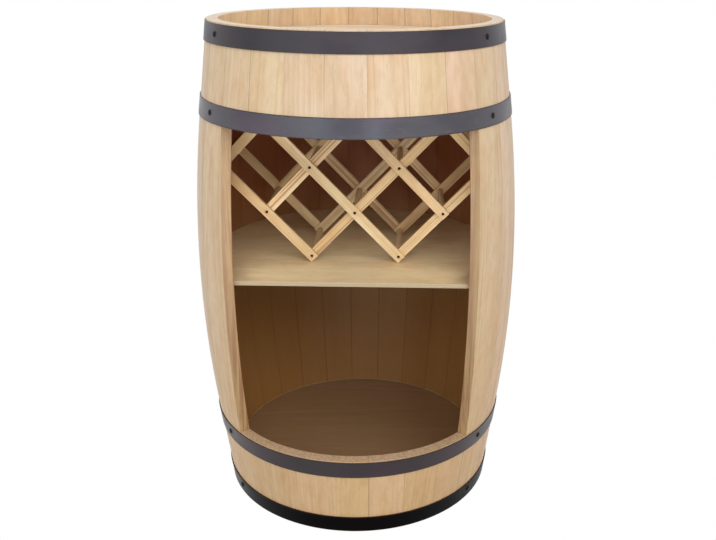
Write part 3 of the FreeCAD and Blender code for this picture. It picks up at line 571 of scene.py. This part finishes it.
def laid_out(master, name, places, material, body, slot, *nodes):
    """Copies of a master at places, joined into one piece on a body."""
    copies = []
    for place in places:
        copy = bpy.data.objects.new(name, master.data.copy())
        copy.data.transform(place)
        scene.collection.objects.link(copy)
        copies.append(copy)
    bpy.ops.object.select_all(action="DESELECT")
    for copy in copies:
        copy.select_set(True)
    bpy.context.view_layer.objects.active = copies[0]
    bpy.ops.object.join()
    piece = copies[0]
    piece.select_set(False)
    piece.data.materials.clear()
    piece.data.materials.append(material)
    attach(piece, body)
    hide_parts(*nodes)
    return piece


def facing(front_angle, radius, level, lean):
    """+Z out of the barrel at a front angle in degrees, leaning up; +X down and +Y round."""
    return (Matrix.Rotation(math.radians(front_angle - 90), 4, "Z")
            @ Matrix.Translation((radius, 0, level))
            @ Matrix.Rotation(math.pi / 2 - lean, 4, "Y"))


def on_hoop(name, front_angle, above):
    """A place on a hoop's middle line, above the staves."""
    from_end = HOOP_SETBACKS[name] + HOOP_WIDTH / 2
    radius = END_RADIUS + from_end * math.tan(CONE) + above / math.cos(CONE)
    upper = name in ("upper_hoop", "top_hoop")
    return facing(front_angle, radius, 2 * MIDDLE - from_end if upper else from_end,
                  CONE if upper else -CONE)


def scuffed_metal(name, edge, paint, bare_or_cavity_shade, strength):
    """The metal of a small fastener, and its shader."""
    material, tree, shader = new_material(name)
    surface = use_group(tree, worn_paint, {
        "Place": object_place(tree), "Edge": edge, "Paint": paint, "Bare": bare_or_cavity_shade})
    finish(tree, shader, surface["Color"], surface["Roughness"], surface["Height"], strength,
           0.0001)
    return material, shader


nail_black, shader = scuffed_metal(
    "black_nails", 0.10, (0.006, 0.005, 0.006, 1), (0.060, 0.055, 0.055, 1), 0.3)
shader.inputs["Specular IOR Level"].default_value = 0.15

nail = turned("nail", [(0, -0.014), (0.0004, -0.0135), (0.0011, -0.0115), (0.0011, 0), (0.0045, 0),
                       (0.0045, 0.0004), (0.0042, 0.0010), (0.0035, 0.0016), (0.0024, 0.00203),
                       (0.0012, 0.00217), (0, 0.0022)], 24)
laid_out(nail, "domed_nails",
         [on_hoop(name, angle, HOOP_THICKNESS) for name in HOOP_SETBACKS for angle in NAIL_ANGLES],
         nail_black, "barrel", "nail_steel", "hoop_nails")
bpy.data.objects.remove(nail)

rivet = turned("rivet", [(0, -0.0036), (0.0020, -0.0036), (0.0020, 0), (0.0040, 0),
                         (0.0039, 0.0003), (0.0032, 0.0008), (0.0020, 0.00112), (0, 0.0012)], 20)
for name in HOOP_SETBACKS:
    laid_out(rivet, f"{name}_lap_rivets",
             [on_hoop(name, angle, 2 * HOOP_THICKNESS) for angle in RIVET_ANGLES],
             cad[name].material_slots[0].material, "barrel", "hoop_steel", "hoop_rivets")
bpy.data.objects.remove(rivet)


# ---- Shelf: a plywood disc with a straight front ----
# Seven millimetres of five-ply, sanded, with its plies showing on the edge. It rests on the
# cleats, and the rack stands on it.

SHELF_UNDER, SHELF_TOP = 0.406, 0.413
PLIES = 5

plywood, tree, shader = new_material("sanded_plywood")
place = object_place(tree)
x, y, z = axes(tree, place)
veneer = use_group(tree, sawn_board, {
    "Place": vector_of(tree, y, x, z), "Seed": 7.0, "Ring Spacing": 0.017,
    "Pale": (0.770, 0.640, 0.410, 1), "Warm": (0.710, 0.565, 0.335, 1),
    "Late Wood": (0.580, 0.430, 0.230, 1), "Contrast": 0.12, "Knots": 0.0})
ply = times(tree, minus(tree, z, SHELF_UNDER), PLIES / (SHELF_TOP - SHELF_UNDER))
crossed = maths(tree, "PINGPONG", ply, 1.0)
from_glue = maths(tree, "ABSOLUTE", minus(tree, maths(tree, "FRACT", ply), 0.5))
glue = spread(tree, from_glue, 0.44, 0.5)
faces_up = maths(tree, "ABSOLUTE", axes(tree, surface_normal(tree))[2])
on_edge = spread(tree, faces_up, 0.3, 0.7, 1.0, 0.0)
layers = blend(tree, spread(tree, crossed, 0.35, 0.65), (0.600, 0.480, 0.310, 1),
               (0.500, 0.370, 0.220, 1))
layers = blend(tree, times(tree, glue, 0.5), layers, (0.300, 0.180, 0.080, 1))
torn = noise(tree, place, (900.0, 900.0, 120.0))
layers = blend(tree, spread(tree, torn, 0.5, 0.75, 0.0, 0.35), layers, (0.420, 0.280, 0.140, 1))
wood = blend(tree, on_edge, veneer["Color"], layers)
height = minus(tree, veneer["Height"], times(tree, times(tree, glue, on_edge), 0.6))
finish(tree, shader, wood, veneer["Roughness"], height, 0.3, 0.0003)
cad["shelf"].material_slots[0].material = plywood
ease_edges(cad["shelf"], SANDED)


# ---- Shelf cleats and their screws ----
# Four short softwood blocks under the shelf, each held to a stave by two plated screws with
# cross-recessed heads.

CLEAT_STAVES = (6, 11, 15, 20)
CLEAT_FACE = 0.23077
CLEAT_MIDDLE = 0.397
SCREW_ASIDE = 0.013

cleat_wood, tree, shader = new_material("planed_cleats")
x, y, z = axes(tree, object_place(tree))
turn = maths(tree, "ARCTAN2", x, times(tree, y, -1.0))
number = maths(tree, "ROUND", maths(tree, "DIVIDE", turn, STAVE_STEP))
board = use_group(tree, sawn_board, {
    "Place": vector_of(tree, z, times(tree, turn, 0.24), times(tree, y, 0.3)),
    "Seed": plus(tree, number, 130.0), "Ring Spacing": 0.003,
    "Pale": (0.600, 0.430, 0.250, 1), "Warm": (0.530, 0.360, 0.190, 1),
    "Late Wood": (0.380, 0.230, 0.110, 1), "Contrast": 0.4, "Knots": 0.0})
finish(tree, shader, board["Color"], board["Roughness"], board["Height"], 0.4, 0.0003)
cad["shelf_cleats"].material_slots[0].material = cleat_wood
ease_edges(cad["shelf_cleats"], 0.0008, flat_sided=True)


def cross_recessed(screw, arm, width, sunk, top):
    """Cuts a cross recess into a screw's head."""
    bpy.ops.object.select_all(action="DESELECT")
    bpy.ops.mesh.primitive_cube_add(size=1)
    cutter = bpy.context.object
    bpy.ops.object.mode_set(mode="EDIT")
    bpy.ops.transform.resize(value=(arm * 2, width, sunk * 2))
    bpy.ops.mesh.duplicate()
    bpy.ops.transform.rotate(value=math.pi / 2, orient_axis="Z", center_override=(0, 0, 0))
    bpy.ops.mesh.select_all(action="SELECT")
    bpy.ops.transform.translate(value=(0, 0, top))
    bpy.ops.object.mode_set(mode="OBJECT")
    recess = screw.modifiers.new("recess", "BOOLEAN")
    recess.object = cutter
    recess.operation = "DIFFERENCE"
    recess.solver = "EXACT"
    recess.use_self = True
    bpy.context.view_layer.objects.active = screw
    bpy.ops.object.modifier_apply(modifier="recess")
    bpy.data.objects.remove(cutter)


zinc, shader = scuffed_metal(
    "plated_screws", 0.2, (0.62, 0.57, 0.40, 1), (0.70, 0.70, 0.68, 1), 0.2)
shader.inputs["Metallic"].default_value = 0.9

screw = turned("screw", [(0, -0.030), (0.0006, -0.029), (0.00175, -0.025), (0.00175, 0),
                         (0.0035, 0), (0.0035, 0.0009), (0.0030, 0.0015), (0.0021, 0.0020),
                         (0.0010, 0.00216), (0, 0.0022)], 20)
cross_recessed(screw, 0.0021, 0.0008, 0.0012, 0.0022)
places = [facing(number * 360 / STAVES + 180, -CLEAT_FACE, CLEAT_MIDDLE, 0)
          @ Matrix.Translation((0, side, 0))
          for number in CLEAT_STAVES for side in (-SCREW_ASIDE, SCREW_ASIDE)]
laid_out(screw, "cleat_cross_screws", places, zinc, "barrel", "plated_screws", "cleat_screws")
bpy.data.objects.remove(screw)


# ---- Rack slats: sixteen, in two lattices that fold like an accordion ----
# Planed softwood slats, the falling ones outermost, with a screw in a recess at every crossing.
# Some show bands of darker wood.

LEAN = math.radians(46.2)
FIRST_SLAT = 0.24167
SLATS_APART = 0.10321
rack_nodes = [name for name in cad if "slat_" in name]

for way, angle in (("falling", -LEAN), ("rising", LEAN)):
    slat_wood, tree, shader = new_material(f"{way}_slats")
    turned_place = put(tree, "ShaderNodeMapping",
                       {"Vector": object_place(tree), "Rotation": (0, angle, 0)}).outputs[0]
    x, y, z = axes(tree, turned_place)
    counted = maths(tree, "DIVIDE", minus(tree, z, FIRST_SLAT), SLATS_APART)
    number = maths(tree, "ROUND", counted)
    aside = times(tree, minus(tree, counted, number), SLATS_APART)
    back = spread(tree, y, -0.01, 0.01, 0.0, 10.0)
    seed = plus(tree, plus(tree, number, back), 160.0 if way == "falling" else 190.0)
    board = use_group(tree, sawn_board, {
        "Place": vector_of(tree, aside, x, y), "Seed": seed, "Ring Spacing": 0.0034,
        "Pale": (0.820, 0.650, 0.390, 1), "Warm": (0.760, 0.560, 0.300, 1),
        "Late Wood": (0.380, 0.200, 0.080, 1), "Contrast": 0.40 if way == "falling" else 0.65,
        "Knots": 0.6})
    # Dark bands of late wood run along some slats, and some are redder.
    chance = axes(tree, chances(tree, seed))
    banded = noise(tree, vector_of(tree, aside, x, seed), (360.0, 2.0, 1.7), 2.0)
    banded = times(tree, spread(tree, banded, 0.52, 0.62),
                   spread(tree, chance[0], 0.30, 0.55, 0.12, 0.75))
    wood = blend(tree, banded, board["Color"], (0.330, 0.170, 0.070, 1))
    redder = spread(tree, chance[1], 0.50, 0.90, 0.0, 0.6)
    wood = blend(tree, redder, wood, (0.90, 0.77, 0.68, 1), "MULTIPLY")
    along_slat = (math.cos(LEAN), 0, -math.sin(LEAN) if way == "falling" else math.sin(LEAN))
    endwise = vectors(tree, "DOT_PRODUCT", surface_normal(tree), along_slat)
    sawn_end = spread(tree, maths(tree, "ABSOLUTE", endwise), 0.6, 0.9, 0.0, 0.4)
    wood = blend(tree, sawn_end, wood, (0.420, 0.270, 0.130, 1))
    # The slats' edges are painted lighter: partly rubbed wear, partly a painted highlight on the
    # eased edges.
    rubbed = noise(tree, turned_place, (60.0, 200.0, 200.0), 3.0)
    rubbed = times(tree, spread(tree, maths(tree, "ABSOLUTE", aside), 0.0068, 0.0077),
                   spread(tree, rubbed, 0.35, 0.65, 0.1, 0.5))
    wood = blend(tree, rubbed, wood, (0.720, 0.560, 0.350, 1))
    finish(tree, shader, wood, board["Roughness"], board["Height"], 0.4, 0.0003)
    for name in rack_nodes:
        if way in name:
            cad[name].material_slots[0].material = slat_wood
            ease_edges(cad[name], 0.0005, flat_sided=True)


# ---- Rack dowels and screws ----
# Turned spacers between the two lattices, and black cross-headed screws that are the pivots. They
# ride on the rising slats.

COLUMN, ROW_RISE, FIRST_ROW = 0.071498, 0.074558, 0.423716
RACK_FRONT, RACK_BACK = -0.0695, 0.0815

dowel_wood, tree, shader = new_material("turned_dowels")
x, y, z = axes(tree, object_place(tree))
column = maths(tree, "ROUND", maths(tree, "DIVIDE", x, COLUMN))
row = maths(tree, "ROUND", maths(tree, "DIVIDE", minus(tree, z, FIRST_ROW), ROW_RISE))
seed = plus(tree, times(tree, column, 7.0), plus(tree, row, 260.0))
board = use_group(tree, sawn_board, {
    "Place": vector_of(tree, x, y, z), "Seed": seed, "Ring Spacing": 0.0024,
    "Pale": (0.760, 0.600, 0.370, 1), "Warm": (0.700, 0.520, 0.290, 1),
    "Late Wood": (0.420, 0.265, 0.130, 1), "Contrast": 0.35, "Knots": 0.0})
finish(tree, shader, board["Color"], board["Roughness"], board["Height"], 0.3, 0.0002)

black_oxide, shader = scuffed_metal(
    "black_rack_screws", 0.2, (0.026, 0.012, 0.007, 1), (0.110, 0.070, 0.045, 1), 0.2)
shader.inputs["Specular IOR Level"].default_value = 0.15

screw = turned("screw", [(0, -0.0258), (0.0006, -0.0250), (0.0013, -0.0230), (0.0013, 0),
                         (0.0023, 0), (0.0023, 0.0004), (0.0020, 0.0008), (0.0014, 0.0011),
                         (0.0007, 0.00118), (0, 0.0012)], 16)
cross_recessed(screw, 0.0014, 0.0006, 0.0007, 0.0012)
for rising in range(4):
    places = []
    for falling in range(4):
        row = falling + rising - 1
        if 0 <= row < 5:
            pivot = ((falling - rising) * COLUMN, 0, FIRST_ROW + row * ROW_RISE)
            for level, tip in ((RACK_FRONT, math.pi / 2), (RACK_BACK, -math.pi / 2)):
                places.append(Matrix.Translation(pivot) @ Matrix.Translation((0, level, 0))
                              @ Matrix.Rotation(tip, 4, "X"))
    number = rising + 1
    laid_out(screw, f"rack_pivot_screws_{number}", places, black_oxide, f"rack_rising_{number}",
             "dark_screws", f"rack_screws_{number}")
    cad[f"rack_dowels_{number}"].material_slots[0].material = dowel_wood
    ease_edges(cad[f"rack_dowels_{number}"], SANDED)
bpy.data.objects.remove(screw)


# ---- Light strip: stuck up both sides of the doorway and over it ----
# White flexible tape with a clear-topped light every 33.3 mm, and between the lights the copper
# pads and small resistors that such a tape carries.

STRIP_ANGLE = 50.5
LIGHT_PITCH = 0.0333
STRIP_DEPTH = 0.019
STRIP_FOOT, LEVEL_RUN = 0.147, 0.664
PAD_ASIDE = 0.0024


def wall(level, below):
    """Radius and lean of the wall at a level, at a depth below the staves' outside."""
    bend, rise = BEND_RADIUS - below, level - MIDDLE
    lean = math.asin(rise / bend)
    if abs(lean) < CONE:
        return BEND_CENTRE + math.sqrt(bend ** 2 - rise ** 2), lean
    from_end = min(level, 2 * MIDDLE - level)
    radius = END_RADIUS + from_end * math.tan(CONE) - below / math.cos(CONE)
    return radius, math.copysign(CONE, rise)


def on_strip(front_angle, level, raised):
    radius, lean = wall(level, STRIP_DEPTH + raised)
    return facing(front_angle, radius, level, lean) @ Matrix.Rotation(math.pi, 4, "X")


tape, tree, shader = new_material("light_tape")
place = object_place(tree)
mottled = noise(tree, place, (160.0, 160.0, 160.0), 3.0)
x, y, z = axes(tree, place)
below = below_bend(tree, from_axis(tree, x, y), minus(tree, z, MIDDLE))
housing = spread(tree, below, 0.0195, 0.0198)
colour = blend(tree, spread(tree, mottled, 0.3, 0.7), (0.80, 0.79, 0.74, 1), (0.72, 0.70, 0.63, 1))
colour = blend(tree, housing, colour, (0.86, 0.86, 0.84, 1))
grit = noise(tree, place, (1200.0, 1200.0, 1200.0))
finish(tree, shader, colour, spread(tree, mottled, 0.3, 0.7, 0.35, 0.5), grit, 0.15, 0.0001)
cad["led_strip"].material_slots[0].material = tape

light_places = []
level = STRIP_FOOT + LIGHT_PITCH / 2
while level < LEVEL_RUN - LIGHT_PITCH / 2:
    light_places += [(-STRIP_ANGLE, level), (STRIP_ANGLE, level)]
    level += LIGHT_PITCH
step = math.degrees(LIGHT_PITCH / wall(LEVEL_RUN, STRIP_DEPTH)[0])
light_places += [(number * step, LEVEL_RUN) for number in range(-5, 6)]

phosphor, tree, shader = new_material("light_phosphor")
place = object_place(tree)
mottled = noise(tree, place, (700.0, 700.0, 700.0), 3.0)
colour = blend(tree, spread(tree, mottled, 0.3, 0.7), (0.90, 0.78, 0.42, 1), (0.95, 0.86, 0.55, 1))
finish(tree, shader, colour, spread(tree, mottled, 0.3, 0.7, 0.15, 0.3), mottled, 0.1, 0.0001)
shader.inputs["Emission Color"].default_value = (1.0, 0.96, 0.88, 1)
shader.inputs["Emission Strength"].default_value = 3.0

lens = turned("lens", [(0, -0.0002), (0.0020, -0.0002), (0.0020, 0.0001), (0.0017, 0.0003),
                       (0.0009, 0.00042), (0, 0.00045)], 12)
laid_out(lens, "light_lenses", [on_strip(*place, 0.00125) for place in light_places], phosphor,
         "barrel", "light_strip")
bpy.data.objects.remove(lens)


def bevelled_block(name, sides, eased):
    """A block with rounded edges, standing on z = 0 at the origin."""
    bpy.ops.object.select_all(action="DESELECT")
    bpy.ops.mesh.primitive_cube_add(size=1)
    piece = bpy.context.object
    piece.name = name
    bpy.ops.object.mode_set(mode="EDIT")
    bpy.ops.transform.resize(value=sides)
    bpy.ops.transform.translate(value=(0, 0, sides[2] / 2))
    bpy.ops.mesh.bevel(offset=eased, segments=2, affect="EDGES")
    bpy.ops.object.mode_set(mode="OBJECT")
    bpy.ops.object.shade_smooth_by_angle(angle=math.radians(35))
    return piece


resistor_black, tree, shader = new_material("tape_resistors")
place = object_place(tree)
speckle = noise(tree, place, (2000.0, 2000.0, 2000.0))
finish(tree, shader, blend(tree, speckle, (0.020, 0.020, 0.022, 1), (0.045, 0.045, 0.05, 1)),
       spread(tree, speckle, 0.3, 0.7, 0.4, 0.6), speckle, 0.2, 0.0001)
resistor = bevelled_block("resistor", (0.0012, 0.0020, 0.0005), 0.00012)
between = [(angle, level + 0.27 * LIGHT_PITCH)
           for angle, level in light_places if level < LEVEL_RUN]
laid_out(resistor, "tape_resistors", [on_strip(*place, 0.0) for place in between],
         resistor_black, "barrel", "light_strip")
bpy.data.objects.remove(resistor)

copper, tree, shader = new_material("copper_pads")
place = object_place(tree)
speckle = noise(tree, place, (1500.0, 1500.0, 1500.0), 3.0)
finish(tree, shader, blend(tree, speckle, (0.75, 0.40, 0.20, 1), (0.62, 0.30, 0.14, 1)),
       spread(tree, speckle, 0.3, 0.7, 0.25, 0.5), speckle, 0.2, 0.0001)
shader.inputs["Metallic"].default_value = 0.9
pad = bevelled_block("pad", (0.0022, 0.0016, 0.00012), 0.00004)
pads = [on_strip(angle, level + 0.23 * LIGHT_PITCH, 0.0) @ Matrix.Translation((0, side, 0))
        for angle, level in between for side in (-PAD_ASIDE, PAD_ASIDE)]
laid_out(pad, "tape_copper_pads", pads, copper, "barrel", "light_strip")
bpy.data.objects.remove(pad)


# ---- Battery box, its cover and its switch ----
# Black moulded plastic, stuck to the staves over the doorway. Ribs on the cover give a thumb its
# grip, and the switch's white knob slides beside it.

BOX_RADIUS, BOX_MIDDLE = 0.22414, 0.699
BOX_DEPTH, BOX_WALL = 0.018, 0.0016
RIBS, FIRST_RIB, RIB_PITCH = 5, 0.008, 0.0026
box_frame = facing(180, -BOX_RADIUS, BOX_MIDDLE, -CONE)

# Moulded plastic with a fine spark-eroded grain and small scuffs.
moulded, given, made = new_group(
    "moulded_plastic",
    [("Place", "Vector", None), ("Plastic", "Color", None), ("Scuff", "Color", None)],
    [("Color", "Color"), ("Roughness", "Float"), ("Height", "Float")])
tree = moulded
grain = put(tree, "ShaderNodeTexVoronoi",
            {"Vector": given["Place"], "Scale": 1600.0}).outputs["Distance"]
clouds = noise(tree, given["Place"], (45.0, 45.0, 45.0), 3.0)
rubbed = noise(tree, given["Place"], (300.0, 60.0, 300.0), 3.0, 0.7)
rubbed = spread(tree, rubbed, 0.62, 0.74, 0.0, 0.5)
tree.links.new(blend(tree, rubbed, given["Plastic"], given["Scuff"]), made["Color"])
tree.links.new(spread(tree, clouds, 0.3, 0.7, 0.42, 0.58), made["Roughness"])
tree.links.new(grain, made["Height"])

plastics = {}
for name, plastic, scuff in (("box_plastic", (0.020, 0.020, 0.021, 1), (0.060, 0.060, 0.060, 1)),
                             ("switch_plastic", (0.62, 0.61, 0.58, 1), (0.45, 0.43, 0.39, 1))):
    plastics[name], tree, shader = new_material(f"moulded_{name}")
    place = object_place(tree)
    surface = use_group(tree, moulded, {"Place": place, "Plastic": plastic, "Scuff": scuff})
    finish(tree, shader, surface["Color"], surface["Roughness"], surface["Height"], 0.25, 0.0001)
for name, slot, eased in (("battery_box", "box_plastic", SANDED),
                          ("battery_cover", "box_plastic", SANDED),
                          ("battery_switch", "switch_plastic", 0.0003)):
    cad[name].material_slots[0].material = plastics[slot]
    ease_edges(cad[name], eased)

rib = bevelled_block("rib", (0.0011, 0.022, 0.0007), 0.0003)
rib_foot = BOX_DEPTH + BOX_WALL - 0.00005
ribs = [box_frame @ Matrix.Translation((FIRST_RIB + number * RIB_PITCH, 0, rib_foot))
        for number in range(RIBS)]
laid_out(rib, "cover_grip_ribs", ribs, plastics["box_plastic"], "battery_cover", "box_plastic")
bpy.data.objects.remove(rib)


# ---- Studio: a white floor and soft lamps ----
# The floor and the world are white to the eye and plain to the light. Softboxes stand round the
# barrel, and narrow warm lamps give the light strip's own glow.


def seen_white(tree):
    """1 where the eye or a reflection meets a surface, and 0 for the light that falls on it."""
    rays = put(tree, "ShaderNodeLightPath").outputs
    reflected = maths(tree, "MAXIMUM", rays["Is Glossy Ray"], rays["Is Transmission Ray"])
    return maths(tree, "MAXIMUM", rays["Is Camera Ray"], reflected)


bpy.ops.object.select_all(action="DESELECT")
bpy.ops.mesh.primitive_plane_add(size=40, location=(0, 0, 0))
floor = bpy.context.object
floor.name = "studio_floor"
paper, tree, shader = new_material("white_paper")
shader.inputs["Base Color"].default_value = (0.50, 0.50, 0.50, 1)
shader.inputs["Roughness"].default_value = 0.9
shader.inputs["Specular IOR Level"].default_value = 0.0
white = put(tree, "ShaderNodeEmission", {"Color": (1, 1, 1, 1), "Strength": 1.0})
mixed = put(tree, "ShaderNodeMixShader",
            {0: seen_white(tree), 1: shader.outputs[0], 2: white.outputs[0]})
tree.links.new(mixed.outputs[0], tree.nodes["Material Output"].inputs["Surface"])
floor.data.materials.append(paper)

world = bpy.data.worlds.new("studio_world")
world.use_nodes = True
scene.world = world
tree = world.node_tree
ambient = tree.nodes["Background"]
ambient.inputs["Color"].default_value = (1, 1, 1, 1)
ambient.inputs["Strength"].default_value = 0.50
backdrop = put(tree, "ShaderNodeBackground", {"Color": (1, 1, 1, 1), "Strength": 1.0})
mixed = put(tree, "ShaderNodeMixShader",
            {0: seen_white(tree), 1: ambient.outputs[0], 2: backdrop.outputs[0]})
tree.links.new(mixed.outputs[0], tree.nodes["World Output"].inputs["Surface"])


def soft_lamp(name, place, target, width, height, watts, tint=(1, 1, 1)):
    """A rectangular softbox turned to a target, unseen by the camera."""
    lamp = bpy.data.lights.new(name, "AREA")
    lamp.shape = "RECTANGLE"
    lamp.size, lamp.size_y = width, height
    lamp.energy = watts
    lamp.color = tint
    holder = bpy.data.objects.new(name, lamp)
    holder.location = place
    holder.rotation_euler = (Vector(target) - Vector(place)).to_track_quat("-Z", "Y").to_euler()
    holder.visible_camera = False
    scene.collection.objects.link(holder)


soft_lamp("key_softbox", (1.2, -1.7, 1.9), (0, 0, 0.45), 1.6, 1.2, 25, (1.0, 0.985, 0.96))
soft_lamp("fill_softbox", (-1.5, -1.5, 1.3), (0, 0, 0.45), 1.4, 1.4, 6)
soft_lamp("front_softbox", (-0.1, -2.0, 1.8), (0, 0, 0.5), 0.8, 0.8, 8)
cool_white = (0.72, 0.90, 1.0)
soft_lamp("low_softbox_left", (-0.88, -2.10, 0.77), (0, -0.25, 0.67), 0.25, 0.25, 3.4, cool_white)
soft_lamp("low_softbox_right", (0.60, -2.20, 0.77), (0, -0.25, 0.67), 0.25, 0.25, 3.4, cool_white)
soft_lamp("top_softbox", (-0.7, 0.15, 2.2), (0, 0, 0.8), 1.4, 1.4, 9)
# The strip's own light on the rack and the walls, above the shelf and below it.
GLOW_WIDTH = 0.010
warm_white = (1.0, 0.93, 0.80)
for side, name in ((-1, "left"), (1, "right")):
    for part, level, watts in (("upper", 0.54, 0.060), ("lower", 0.275, 0.020)):
        soft_lamp(f"strip_glow_{name}_{part}", (0.172 * side, -0.142, level), (0, -0.04, level),
                  GLOW_WIDTH, 0.20, watts, warm_white)
soft_lamp("strip_glow_over", (0, -0.205, 0.664), (0, 0.03, 0.5), 0.24, GLOW_WIDTH, 0.045,
          warm_white)

scene.view_settings.view_transform = "Standard"
